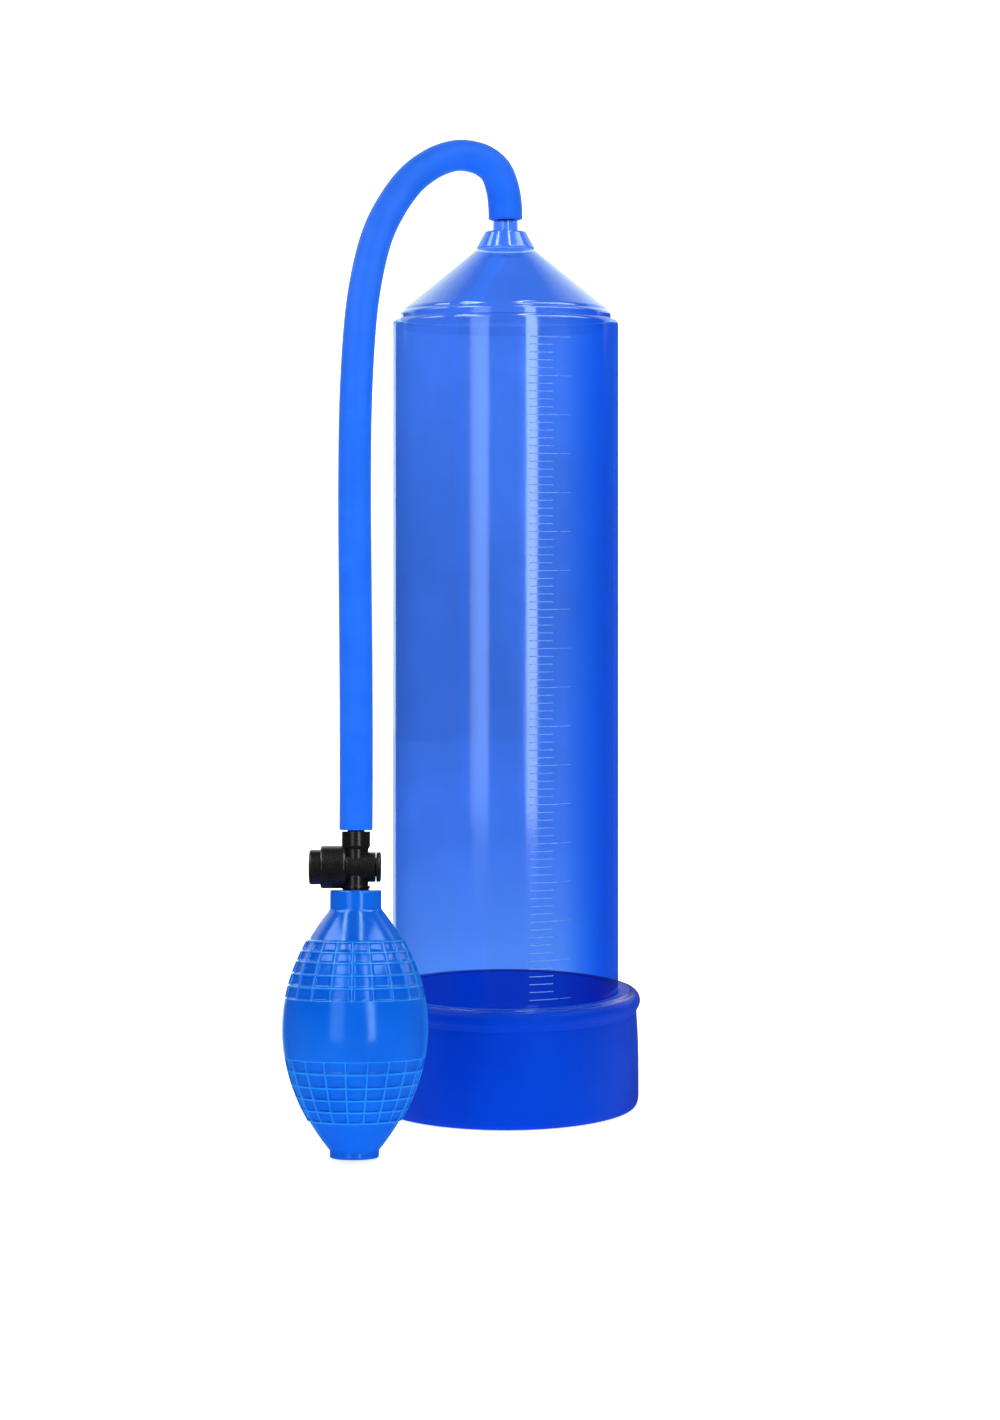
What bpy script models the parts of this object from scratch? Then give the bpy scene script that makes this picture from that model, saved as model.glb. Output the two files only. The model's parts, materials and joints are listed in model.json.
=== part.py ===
"""Hand bulb vacuum pump: a clear cylinder with a sealing sleeve, a hose, and a squeeze bulb with its valve.

Metres, +Z up, standing on z = 0. The object's front is -Y. The origin is the centre of the footprint.
"""

import math

import bmesh
import bpy
from mathutils import Vector

MM = 0.001
GAP = 0.3 * MM
WIDE_STEPS = 52
BULB_STEPS = 36
VALVE_STEPS = 32
SMALL_STEPS = 24

# Cylinder, its conical head and the hose fitting on top
TUBE_RADIUS = 30.0 * MM
TUBE_WALL = 1.5 * MM
TUBE_FOOT = 5.9 * MM
TUBE_TOP = 208.4 * MM
TUBE_ROUNDING = 1.4 * MM
HEAD_RADIUS = 28.0 * MM
HEAD_RING_TOP = 210.3 * MM
HEAD_SKIRT_FOOT = 205.8 * MM
HEAD_SKIRT_WALL = 1.6 * MM
CONE_FOOT = (26.8 * MM, 211.4 * MM)
CONE_TOP = (7.9 * MM, 226.9 * MM)
CONE_WALL_HEIGHT = 2.6 * MM
FITTING_HOLE_RADIUS = 4.7 * MM
FITTING_SHANK_FOOT = 224.9 * MM
COLLAR_TOP = (5.4 * MM, 231.9 * MM)
NIPPLE_RADIUS = 3.3 * MM
NIPPLE_TOP = 234.7 * MM
CONNECTOR_TOP = 241.5 * MM
AIR_BORE_RADIUS = 1.3 * MM
BARB_RADIUS = 2.55 * MM
BARB_ROOT_RADIUS = 2.1 * MM

# Sealing sleeve
SLEEVE_RADIUS = 35.4 * MM
SLEEVE_CONTACT_RADIUS = 34.3 * MM
SLEEVE_NECK_RADIUS = 34.8 * MM
SLEEVE_BEAD_RADIUS = 35.8 * MM
SLEEVE_BEAD_MIDDLE = 27.6 * MM
SLEEVE_BEAD_ROUNDING = 2.7 * MM
SLEEVE_TOP = 30.3 * MM
SLEEVE_FLOOR = 5.6 * MM
SLEEVE_MOUTH_RADIUS = 11.2 * MM

# Squeeze bulb: heights are counted along its own axis, from its end flange up
BULB_RADIUS = 17.9 * MM
BULB_WALL = 1.8 * MM
BULB_MIDDLE = 31.0 * MM
BULB_REACH = 35.0 * MM
BULB_POWER = 0.9
NECK_RADIUS = 6.3 * MM
NECK_TOP = 64.4 * MM
NECK_BORE_RADIUS = 3.7 * MM
BULB_FLANGE_RADIUS = 6.0 * MM
BULB_RIM = 0.5 * MM

# Release valve: its barrels lie along X at this height, and x is counted from the bulb's axis
VALVE_HEIGHT = 69.95 * MM
BUTTON_END = -11.35 * MM
BUTTON_RADIUS = 4.24 * MM
BUTTON_INNER_END = -6.8 * MM
BARREL_RADIUS = 5.2 * MM
BARREL_MOUTH = -8.55 * MM
BARREL_BORE_RADIUS = 4.34 * MM
SEAT_WALL = (-3.2 * MM, -2.2 * MM)
VENT_RADIUS = 1.2 * MM
CHAMBER_RADIUS = 2.45 * MM
SMALL_BARREL_RADIUS = 3.65 * MM
SMALL_BARREL_END = 4.8 * MM
END_CAP_END = 6.12 * MM
STEM_RADIUS = 3.05 * MM
STEM_COLLAR_RADIUS = 3.47 * MM
STEM_COLLAR = (74.9 * MM, 78.6 * MM)
STEM_TOP = 85.3 * MM
SPIGOT_RADIUS = 3.2 * MM
SPIGOT_FOOT = 52.0 * MM

# Check valves: the same ball, bore and seat at the inlet and at the outlet
BALL_RADIUS = 1.4 * MM
BALL_BORE_RADIUS = 1.75 * MM
SEAT_RADIUS = 0.9 * MM
BALL_BORE_HEIGHT = 3.5 * MM
SEAT_CONE_HEIGHT = 0.8 * MM
RETAINER_FOOT = 0.3 * MM
RETAINER_HEIGHT = 0.6 * MM
EXHAUST_FOOT = 0.6 * MM

# Hose
HOSE_RADIUS = 4.1 * MM
HOSE_BORE_RADIUS = 1.9 * MM
HOSE_SOCKET_RADIUS = 2.9 * MM
HOSE_SOCKET_DEPTH = 8.0 * MM
HOSE_RINGS = 40

# Places: the bulb stands in front and to the left of the cylinder, on the back edge of its end flange,
# and leans back because the hose pulls its top towards the cylinder
BULB_LEAN = math.radians(6.0)
BULB_FOOT_FROM_CYLINDER = Vector((-36.8 * MM, -67.3 * MM, 0.0))
BULB_WAIST = BULB_REACH / math.sqrt(2 * BULB_POWER)
BULB_FRONT = (
    BULB_FOOT_FROM_CYLINDER.y
    + BULB_MIDDLE * math.sin(BULB_LEAN)
    - math.hypot(BULB_RADIUS * math.cos(BULB_LEAN), BULB_WAIST * math.sin(BULB_LEAN))
)
CYLINDER_AXIS = Vector((
    -(BULB_FOOT_FROM_CYLINDER.x - BULB_RADIUS + SLEEVE_BEAD_RADIUS) / 2,
    -(BULB_FRONT + SLEEVE_BEAD_RADIUS) / 2,
    0.0,
))
HAND_ORIGIN = Vector((0.0, 0.0, 0.0))
VALVE_CENTRE = Vector((0.0, 0.0, VALVE_HEIGHT))

# The hose's route from the nipple to the valve, in millimetres from the cylinder's axis at the floor
HOSE_ROUTE_MM = [
    (0.0, 0.0, 235.0),
    (-0.1, 0.0, 238.6),
    (-0.7, -0.2, 243.0),
    (-2.4, -1.0, 247.6),
    (-5.5, -2.3, 250.3),
    (-9.2, -4.0, 251.4),
    (-13.0, -6.6, 251.3),
    (-17.6, -10.4, 249.5),
    (-22.2, -15.0, 246.1),
    (-26.2, -19.7, 241.5),
    (-30.4, -26.2, 234.0),
    (-33.2, -31.8, 226.4),
    (-35.3, -37.8, 216.0),
    (-36.6, -43.2, 204.0),
    (-37.4, -48.6, 185.0),
    (-37.5, -52.4, 162.6),
    (-37.2, -54.8, 138.0),
    (-36.9, -56.5, 112.0),
    (-36.8, -57.9, 90.0),
    (-36.8, -59.05, 79.05),
]


def clear_scene():
    for obj in list(bpy.data.objects):
        bpy.data.objects.remove(obj, do_unlink=True)


def new_collection(name, hidden=False):
    collection = bpy.data.collections.new(name)
    collection.hide_render = hidden
    bpy.context.scene.collection.children.link(collection)
    return collection


def new_material(name, colour, roughness, metallic=0.0, alpha=1.0):
    material = bpy.data.materials.new(name)
    material.use_nodes = True
    shader = material.node_tree.nodes["Principled BSDF"]
    shader.inputs["Base Color"].default_value = (*colour, 1.0)
    shader.inputs["Roughness"].default_value = roughness
    shader.inputs["Metallic"].default_value = metallic
    shader.inputs["Alpha"].default_value = alpha
    return material


def clear_blue():
    return new_material("clear_blue_plastic", (0.03, 0.16, 0.80), 0.08, alpha=0.4)


def deep_blue_silicone():
    return new_material("deep_blue_silicone", (0.0, 0.05, 0.62), 0.35)


def hose_blue():
    return new_material("hose_silicone", (0.01, 0.18, 0.95), 0.45)


def bulb_blue():
    return new_material("bulb_rubber", (0.01, 0.11, 0.80), 0.2)


def black_plastic():
    return new_material("black_plastic", (0.02, 0.02, 0.022), 0.4)


def seal_rubber():
    return new_material("seal_rubber", (0.03, 0.03, 0.03), 0.7)


def steel():
    return new_material("steel", (0.6, 0.6, 0.6), 0.25, metallic=1.0)


def arc(centre, radius, start, end, count):
    """Points (r, z) on an arc, with angles in degrees from +r towards +z."""
    angles = [math.radians(start + (end - start) * i / (count - 1)) for i in range(count)]
    return [(centre[0] + radius * math.cos(a), centre[1] + radius * math.sin(a)) for a in angles]


def shade(mesh):
    mesh.shade_smooth()
    mesh.set_sharp_from_angle(angle=math.radians(35))


def turned(
    name, outline, place, material, collection, steps=SMALL_STEPS, ring=True, along_x=False, hand=None
):
    """A solid turned from an outline of (r, z) points.

    A ring's outline is closed; another starts and ends at r = 0. With hand, the place is counted from
    that empty, which holds the bulb and its valve.
    """
    mesh = bpy.data.meshes.new(name)
    count = len(outline)
    edges = [(i, i + 1) for i in range(count - 1)]
    if ring:
        edges.append((count - 1, 0))
    mesh.from_pydata([(r, 0.0, z) for r, z in outline], edges, [])
    obj = bpy.data.objects.new(name, mesh)
    screw = obj.modifiers.new("Screw", "SCREW")
    screw.axis = "Z"
    screw.angle = math.tau
    screw.steps = steps
    screw.render_steps = steps
    screw.use_merge_vertices = True
    screw.merge_threshold = 0.00001
    screw.use_smooth_shade = True
    obj.location = place
    obj.parent = hand
    if along_x:
        obj.rotation_euler = (0.0, math.pi / 2, 0.0)
    if material:
        mesh.materials.append(material)
    collection.objects.link(obj)
    return obj


def add_boolean(obj, other, operation):
    boolean = obj.modifiers.new(operation.title(), "BOOLEAN")
    boolean.operation = operation
    boolean.object = other
    other.hide_render = True
    other.display_type = "WIRE"


def washer(name, inner, outer, foot, height, place, material, collection, hand, along_x=False):
    outline = [(outer, foot + height), (outer, foot), (inner, foot), (inner, foot + height)]
    return turned(name, outline, place, material, collection, along_x=along_x, hand=hand)


def barbs(top, foot, count):
    """The outer side of a hose barb, from its tip down to its foot."""
    pitch = (top - foot) / count
    points = []
    for i in range(count):
        tip = top - i * pitch
        points.append((BARB_ROOT_RADIUS, tip))
        points.append((BARB_RADIUS, tip - 0.6 * pitch))
        points.append((BARB_ROOT_RADIUS, tip - 0.75 * pitch))
    return points


# Cylinder


def make_cylinder_tube(collection):
    inner = TUBE_RADIUS - TUBE_WALL
    shoulder = (TUBE_RADIUS - TUBE_ROUNDING, TUBE_TOP - TUBE_ROUNDING)
    outline = [(inner, TUBE_TOP)]
    outline += arc(shoulder, TUBE_ROUNDING, 90, 0, 5)
    outline += [(TUBE_RADIUS, TUBE_FOOT + GAP), (TUBE_RADIUS - GAP, TUBE_FOOT)]
    outline += [(inner + GAP, TUBE_FOOT), (inner, TUBE_FOOT + GAP)]
    turned("cylinder_tube", outline, CYLINDER_AXIS, clear_blue(), collection, WIDE_STEPS)


def make_cylinder_cap(collection):
    skirt_inner = HEAD_RADIUS - HEAD_SKIRT_WALL
    slope = (CONE_TOP[1] - CONE_FOOT[1]) / (CONE_FOOT[0] - CONE_TOP[0])
    cone_inner_foot = CONE_FOOT[1] - CONE_WALL_HEIGHT
    cone_inner_top_radius = skirt_inner - (FITTING_SHANK_FOOT - cone_inner_foot) / slope
    outline = [(FITTING_HOLE_RADIUS, CONE_TOP[1]), CONE_TOP, CONE_FOOT]
    outline += [(HEAD_RADIUS - GAP, HEAD_RING_TOP), (HEAD_RADIUS, HEAD_RING_TOP - GAP)]
    outline += [(HEAD_RADIUS, HEAD_SKIRT_FOOT), (skirt_inner, HEAD_SKIRT_FOOT)]
    outline += [(skirt_inner, cone_inner_foot)]
    outline += [(cone_inner_top_radius, FITTING_SHANK_FOOT), (FITTING_HOLE_RADIUS, FITTING_SHANK_FOOT)]
    turned("cylinder_cap", outline, CYLINDER_AXIS, clear_blue(), collection, WIDE_STEPS)


def make_hose_connector(collection):
    shank = FITTING_HOLE_RADIUS - GAP
    collar_foot = CONE_TOP[1] + GAP
    outline = [(AIR_BORE_RADIUS, CONNECTOR_TOP)] + barbs(CONNECTOR_TOP, NIPPLE_TOP, 3)
    outline += [(BARB_ROOT_RADIUS, NIPPLE_TOP), (NIPPLE_RADIUS, NIPPLE_TOP), (NIPPLE_RADIUS, COLLAR_TOP[1])]
    outline += [COLLAR_TOP, (CONE_TOP[0], collar_foot), (shank, collar_foot)]
    outline += [(shank, FITTING_SHANK_FOOT), (AIR_BORE_RADIUS, FITTING_SHANK_FOOT)]
    turned("hose_connector", outline, CYLINDER_AXIS, clear_blue(), collection, SMALL_STEPS)


def make_sealing_sleeve(collection):
    inner = TUBE_RADIUS + GAP
    bead_centre = (SLEEVE_BEAD_RADIUS - SLEEVE_BEAD_ROUNDING, SLEEVE_BEAD_MIDDLE)
    foot_rounding = 2.6 * MM
    lip = 1.1 * MM
    outline = [(inner, SLEEVE_TOP - GAP), (inner + GAP, SLEEVE_TOP)]
    outline += arc(bead_centre, SLEEVE_BEAD_ROUNDING, 90, -45, 8)
    outline += [(SLEEVE_NECK_RADIUS, SLEEVE_BEAD_MIDDLE - SLEEVE_BEAD_ROUNDING)]
    outline += [(SLEEVE_RADIUS, SLEEVE_BEAD_MIDDLE / 2), (SLEEVE_RADIUS, foot_rounding)]
    outline += [(SLEEVE_RADIUS - 0.25 * MM, foot_rounding / 2), (SLEEVE_CONTACT_RADIUS, 0.0)]
    outline += arc((SLEEVE_MOUTH_RADIUS + lip, lip), lip, 270, 90, 6)
    outline += [(TUBE_RADIUS - 3.0 * MM, SLEEVE_FLOOR), (inner, SLEEVE_FLOOR)]
    turned("sealing_sleeve", outline, CYLINDER_AXIS, deep_blue_silicone(), collection, WIDE_STEPS)


# Squeeze bulb


def bulb_radius(height, shrink=0.0):
    """The bulb's radius at a height, or its inside's when shrunk by the wall."""
    reach = BULB_REACH - shrink / math.sqrt(0.5)
    share = min(1.0, abs(height - BULB_MIDDLE) / reach)
    return (BULB_RADIUS - shrink) * (1.0 - share * share) ** BULB_POWER


def bulb_height(radius, shrink=0.0, upper=True):
    """Where the bulb, or its inside, has this radius."""
    reach = BULB_REACH - shrink / math.sqrt(0.5)
    offset = reach * math.sqrt(1.0 - (radius / (BULB_RADIUS - shrink)) ** (1.0 / BULB_POWER))
    return BULB_MIDDLE + offset if upper else BULB_MIDDLE - offset


def bulb_side(top, foot, shrink, count):
    """Points down the bulb, closer together near its ends."""
    middle = (top + foot) / 2
    reach = (top - foot) / 2
    heights = [middle + reach * math.cos(math.pi * i / (count - 1)) for i in range(count)]
    return [(bulb_radius(z, shrink), z) for z in heights]


def make_squeeze_bulb(collection, hand):
    rim = BULB_RIM
    outline = [(NECK_BORE_RADIUS, NECK_TOP), (NECK_RADIUS - rim, NECK_TOP), (NECK_RADIUS, NECK_TOP - rim)]
    outline += bulb_side(bulb_height(NECK_RADIUS), bulb_height(BULB_FLANGE_RADIUS, upper=False), 0.0, 17)
    outline += [(BULB_FLANGE_RADIUS, rim), (BULB_FLANGE_RADIUS - rim, 0.0)]
    outline += [(NECK_BORE_RADIUS, 0.0)]
    inside_top = bulb_height(NECK_BORE_RADIUS, BULB_WALL)
    inside_foot = bulb_height(NECK_BORE_RADIUS, BULB_WALL, upper=False)
    outline += bulb_side(inside_top, inside_foot, BULB_WALL, 11)[::-1]
    turned("squeeze_bulb", outline, HAND_ORIGIN, bulb_blue(), collection, BULB_STEPS, hand=hand)


# Check valves


def ball_bore(foot, seat_end):
    """The bore that holds a check ball, from its open foot up through the seat."""
    shoulder = foot + BALL_BORE_HEIGHT
    return [
        (BALL_BORE_RADIUS, foot),
        (BALL_BORE_RADIUS, shoulder),
        (SEAT_RADIUS, shoulder + SEAT_CONE_HEIGHT),
        (SEAT_RADIUS, seat_end),
    ]


def make_check_ball(name, foot, collection, hand):
    """A ball just clear of the retainer ring that it rests on."""
    drop = math.sqrt(BALL_RADIUS**2 - SEAT_RADIUS**2)
    height = foot + RETAINER_FOOT + RETAINER_HEIGHT + drop + 0.1 * MM
    mesh = bpy.data.meshes.new(name)
    shape = bmesh.new()
    bmesh.ops.create_uvsphere(shape, u_segments=16, v_segments=10, radius=BALL_RADIUS)
    shape.to_mesh(mesh)
    shape.free()
    shade(mesh)
    mesh.materials.append(steel())
    obj = bpy.data.objects.new(name, mesh)
    obj.location = (0.0, 0.0, height)
    obj.parent = hand
    collection.objects.link(obj)


def make_check_retainer(name, foot, collection, hand):
    washer(
        name, SEAT_RADIUS, BALL_BORE_RADIUS - 0.1 * MM, foot + RETAINER_FOOT, RETAINER_HEIGHT,
        HAND_ORIGIN, black_plastic(), collection, hand,
    )


def make_exhaust_fitting(collection, hand):
    shank = NECK_BORE_RADIUS - GAP
    catch_radius = NECK_BORE_RADIUS + 0.5 * MM
    catch_foot = bulb_height(catch_radius + GAP, BULB_WALL, upper=False)
    top = 9.0 * MM
    outline = [(SEAT_RADIUS, top), (2.2 * MM, top), (catch_radius, catch_foot + 1.0 * MM)]
    outline += [(catch_radius, catch_foot), (shank, catch_foot), (shank, EXHAUST_FOOT)]
    outline += ball_bore(EXHAUST_FOOT, top)[:-1]
    turned("exhaust_fitting", outline, HAND_ORIGIN, black_plastic(), collection, hand=hand)


# Release valve


def make_valve_body(collection, cutters, hand):
    barrels = [
        (0.0, SMALL_BARREL_END),
        (SMALL_BARREL_RADIUS, SMALL_BARREL_END),
        (SMALL_BARREL_RADIUS, SEAT_WALL[1]),
        (BARREL_RADIUS - GAP, SEAT_WALL[1]),
        (BARREL_RADIUS, SEAT_WALL[1] - GAP),
        (BARREL_RADIUS, BARREL_MOUTH + GAP),
        (BARREL_RADIUS - GAP, BARREL_MOUTH),
        (0.0, BARREL_MOUTH),
    ]
    body = turned(
        "valve_body", barrels, VALVE_CENTRE, black_plastic(), collection,
        VALVE_STEPS, ring=False, along_x=True, hand=hand,
    )
    flange = (NECK_TOP + GAP, NECK_TOP + 1.0 * MM)
    collar_foot, collar_top = STEM_COLLAR
    stem = [(0.0, STEM_TOP)] + barbs(STEM_TOP, collar_top, 3)
    stem += [(BARB_ROOT_RADIUS, collar_top), (STEM_COLLAR_RADIUS, collar_top)]
    stem += [(STEM_COLLAR_RADIUS, collar_foot)]
    stem += [(STEM_RADIUS, collar_foot - 0.4 * MM), (STEM_RADIUS, flange[1]), (STEM_COLLAR_RADIUS, flange[1])]
    stem += [(STEM_COLLAR_RADIUS, flange[0]), (SPIGOT_RADIUS, flange[0])]
    stem += [(SPIGOT_RADIUS, SPIGOT_FOOT), (0.0, SPIGOT_FOOT)]
    tee = turned("valve_stem_shape", stem, HAND_ORIGIN, None, cutters, VALVE_STEPS, ring=False, hand=hand)
    add_boolean(body, tee, "UNION")

    past = 1.0 * MM
    bores = [
        (0.0, SMALL_BARREL_END + past),
        (CHAMBER_RADIUS, SMALL_BARREL_END + past),
        (CHAMBER_RADIUS, SEAT_WALL[1]),
        (VENT_RADIUS, SEAT_WALL[1]),
        (VENT_RADIUS, SEAT_WALL[0]),
        (BARREL_BORE_RADIUS, SEAT_WALL[0]),
        (BARREL_BORE_RADIUS, BARREL_MOUTH - past),
        (0.0, BARREL_MOUTH - past),
    ]
    across = turned(
        "valve_bore_shape", bores, VALVE_CENTRE, None, cutters,
        VALVE_STEPS, ring=False, along_x=True, hand=hand,
    )
    add_boolean(body, across, "DIFFERENCE")

    seat_end = SPIGOT_FOOT + BALL_BORE_HEIGHT + 4.0 * MM
    airway = [(0.0, STEM_TOP + past), (AIR_BORE_RADIUS, STEM_TOP + past), (AIR_BORE_RADIUS, seat_end)]
    airway += ball_bore(SPIGOT_FOOT, seat_end)[::-1]
    airway += [(BALL_BORE_RADIUS, SPIGOT_FOOT - past), (0.0, SPIGOT_FOOT - past)]
    along = turned(
        "valve_airway_shape", airway, HAND_ORIGIN, None, cutters, VALVE_STEPS, ring=False, hand=hand
    )
    add_boolean(body, along, "DIFFERENCE")


def make_valve_end_cap(collection, hand):
    rim = 0.4 * MM
    face = SMALL_BARREL_END + GAP
    plug = CHAMBER_RADIUS - 0.15 * MM
    groove = (3.5 * MM, 4.3 * MM)
    groove_radius = 1.85 * MM
    plug_end = 3.0 * MM
    outline = [(0.0, END_CAP_END), (SMALL_BARREL_RADIUS - rim, END_CAP_END)]
    outline += [(SMALL_BARREL_RADIUS, END_CAP_END - rim), (SMALL_BARREL_RADIUS, face), (plug, face)]
    outline += [(plug, groove[1]), (groove_radius, groove[1]), (groove_radius, groove[0]), (plug, groove[0])]
    outline += [(plug, plug_end), (0.0, plug_end)]
    turned(
        "valve_end_cap", outline, VALVE_CENTRE, black_plastic(), collection,
        VALVE_STEPS, ring=False, along_x=True, hand=hand,
    )
    wire = 0.2 * MM
    ring = arc((groove_radius + wire + 0.1 * MM, sum(groove) / 2), wire, 360, 45, 8)
    turned("end_cap_seal", ring, VALVE_CENTRE, seal_rubber(), collection, along_x=True, hand=hand)


def make_release_button(collection, hand):
    rim = 0.5 * MM
    recess = -9.3 * MM
    socket_end = -10.2 * MM
    socket_radius = 0.95 * MM
    wall = 1.1 * MM
    outline = [(0.0, socket_end), (socket_radius, socket_end), (socket_radius, recess)]
    outline += [(BUTTON_RADIUS - wall, recess), (BUTTON_RADIUS - wall, BUTTON_INNER_END)]
    outline += [(BUTTON_RADIUS, BUTTON_INNER_END), (BUTTON_RADIUS, BUTTON_END + rim)]
    outline += [(BUTTON_RADIUS - rim, BUTTON_END), (0.0, BUTTON_END)]
    turned(
        "release_button", outline, VALVE_CENTRE, black_plastic(), collection,
        VALVE_STEPS, ring=False, along_x=True, hand=hand,
    )


def make_button_plunger(collection, hand):
    head = (-1.3 * MM, -0.6 * MM)
    head_radius = 2.0 * MM
    stem_radius = 0.7 * MM
    stem_end = -9.9 * MM
    outline = [(0.0, head[1]), (head_radius, head[1]), (head_radius, head[0]), (stem_radius, head[0])]
    outline += [(stem_radius, stem_end), (0.0, stem_end)]
    turned(
        "button_plunger", outline, VALVE_CENTRE, black_plastic(), collection,
        ring=False, along_x=True, hand=hand,
    )
    washer(
        "plunger_seal", stem_radius + GAP, head_radius, head[0] - 2 * GAP, GAP,
        VALVE_CENTRE, seal_rubber(), collection, hand, along_x=True,
    )


def make_button_spring(collection, hand):
    """A coil around the plunger's stem, from the button's recess to the seat wall."""
    coil_radius = 2.1 * MM
    wire_radius = 0.22 * MM
    turns = 5
    per_turn = 12
    start = -9.0 * MM + wire_radius
    end = SEAT_WALL[0] - GAP - wire_radius
    curve = bpy.data.curves.new("button_spring", "CURVE")
    curve.dimensions = "3D"
    curve.bevel_depth = wire_radius
    curve.bevel_resolution = 1
    curve.use_fill_caps = True
    curve.resolution_u = 1
    spline = curve.splines.new("POLY")
    count = turns * per_turn + 1
    spline.points.add(count - 1)
    for i in range(count):
        angle = math.tau * i / per_turn
        along = start + (end - start) * i / (count - 1)
        spline.points[i].co = (along, coil_radius * math.cos(angle), coil_radius * math.sin(angle), 1.0)
    curve.materials.append(steel())
    obj = bpy.data.objects.new("button_spring", curve)
    obj.location = VALVE_CENTRE
    obj.parent = hand
    collection.objects.link(obj)


# Hose


def smooth_route(points, count):
    """Points evenly spaced along a Catmull-Rom curve through the route's own points."""
    ends = [2 * points[0] - points[1], *points, 2 * points[-1] - points[-2]]
    dense = []
    for a, b, c, d in zip(ends, ends[1:], ends[2:], ends[3:]):
        for i in range(16):
            t = i / 16
            square = (2 * a - 5 * b + 4 * c - d) * t**2
            cube = (3 * b - a - 3 * c + d) * t**3
            dense.append(0.5 * (2 * b + (c - a) * t + square + cube))
    dense.append(points[-1])
    reach = [0.0]
    for a, b in zip(dense, dense[1:]):
        reach.append(reach[-1] + (b - a).length)
    even = []
    k = 0
    for i in range(count):
        target = reach[-1] * i / (count - 1)
        while k < len(reach) - 2 and reach[k + 1] < target:
            k += 1
        share = (target - reach[k]) / (reach[k + 1] - reach[k])
        even.append(dense[k].lerp(dense[k + 1], share))
    return even


def swept(name, points, radius, collection, material=None):
    """A round rod along the points, as a closed mesh object."""
    curve = bpy.data.curves.new(name + "_path", "CURVE")
    curve.dimensions = "3D"
    curve.bevel_depth = radius
    curve.bevel_resolution = 3
    curve.use_fill_caps = True
    spline = curve.splines.new("POLY")
    spline.points.add(len(points) - 1)
    for point, place in zip(spline.points, points):
        point.co = (*place, 1.0)
    guide = bpy.data.objects.new(name + "_path", curve)
    collection.objects.link(guide)
    bpy.context.view_layer.update()
    evaluated = guide.evaluated_get(bpy.context.evaluated_depsgraph_get())
    mesh = bpy.data.meshes.new_from_object(evaluated)
    mesh.name = name
    shape = bmesh.new()
    shape.from_mesh(mesh)
    bmesh.ops.remove_doubles(shape, verts=shape.verts, dist=0.00001)
    shape.to_mesh(mesh)
    shape.free()
    if material:
        mesh.materials.clear()
        mesh.materials.append(material)
    shade(mesh)
    obj = bpy.data.objects.new(name, mesh)
    obj.matrix_world = guide.matrix_world
    bpy.data.objects.remove(guide, do_unlink=True)
    collection.objects.link(obj)
    return obj


def make_hose(collection, cutters):
    """The hose, with a wider socket at each end, where its barb stretches it."""
    points = [CYLINDER_AXIS + Vector(p) * MM for p in HOSE_ROUTE_MM]
    rings = smooth_route(points, HOSE_RINGS)
    hose = swept("hose", rings, HOSE_RADIUS, collection, hose_blue())
    past = 2.0 * MM
    upright = Vector((0.0, 0.0, 1.0))
    leaning = Vector((0.0, math.sin(BULB_LEAN), math.cos(BULB_LEAN)))
    bore_path = [rings[0] - past * upright, *rings, rings[-1] - past * leaning]
    add_boolean(hose, swept("hose_bore", bore_path, HOSE_BORE_RADIUS, cutters), "DIFFERENCE")
    for name, end, way in (("nipple_socket", rings[0], upright), ("valve_socket", rings[-1], leaning)):
        ends = [end - past * way, end + HOSE_SOCKET_DEPTH * way]
        add_boolean(hose, swept(name, ends, HOSE_SOCKET_RADIUS, cutters), "DIFFERENCE")


def new_hand_frame(collection):
    """The empty that holds the bulb and its valve, with its Z along the bulb's axis."""
    hand = bpy.data.objects.new("hand_frame", None)
    lift = (BULB_FLANGE_RADIUS - BULB_RIM) * math.sin(BULB_LEAN)
    hand.location = CYLINDER_AXIS + BULB_FOOT_FROM_CYLINDER + Vector((0.0, 0.0, lift))
    hand.rotation_euler = (-BULB_LEAN, 0.0, 0.0)
    collection.objects.link(hand)
    return hand


def main():
    clear_scene()
    parts = new_collection("hand_bulb_vacuum_pump")
    cutters = new_collection("cutters", hidden=True)
    hand = new_hand_frame(parts)
    make_cylinder_tube(parts)
    make_cylinder_cap(parts)
    make_hose_connector(parts)
    make_sealing_sleeve(parts)
    make_squeeze_bulb(parts, hand)
    make_exhaust_fitting(parts, hand)
    make_check_ball("exhaust_ball", EXHAUST_FOOT, parts, hand)
    make_check_retainer("exhaust_retainer", EXHAUST_FOOT, parts, hand)
    make_valve_body(parts, cutters, hand)
    make_check_ball("inlet_ball", SPIGOT_FOOT, parts, hand)
    make_check_retainer("inlet_retainer", SPIGOT_FOOT, parts, hand)
    make_valve_end_cap(parts, hand)
    make_release_button(parts, hand)
    make_button_plunger(parts, hand)
    make_button_spring(parts, hand)
    make_hose(parts, cutters)


main()
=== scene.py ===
"""Hand bulb vacuum pump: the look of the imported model, with its camera and lights.

Metres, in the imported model's frame: +Z up, the front is -Y. Turned pieces are made about their own Z and
then moved: the cylinder's by CYLINDER_PLACE, those on the leaning bulb's axis by BULB_PLACE, and those
across it, whose Z points right, by VALVE_PLACE.
"""

import json
import math

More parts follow.
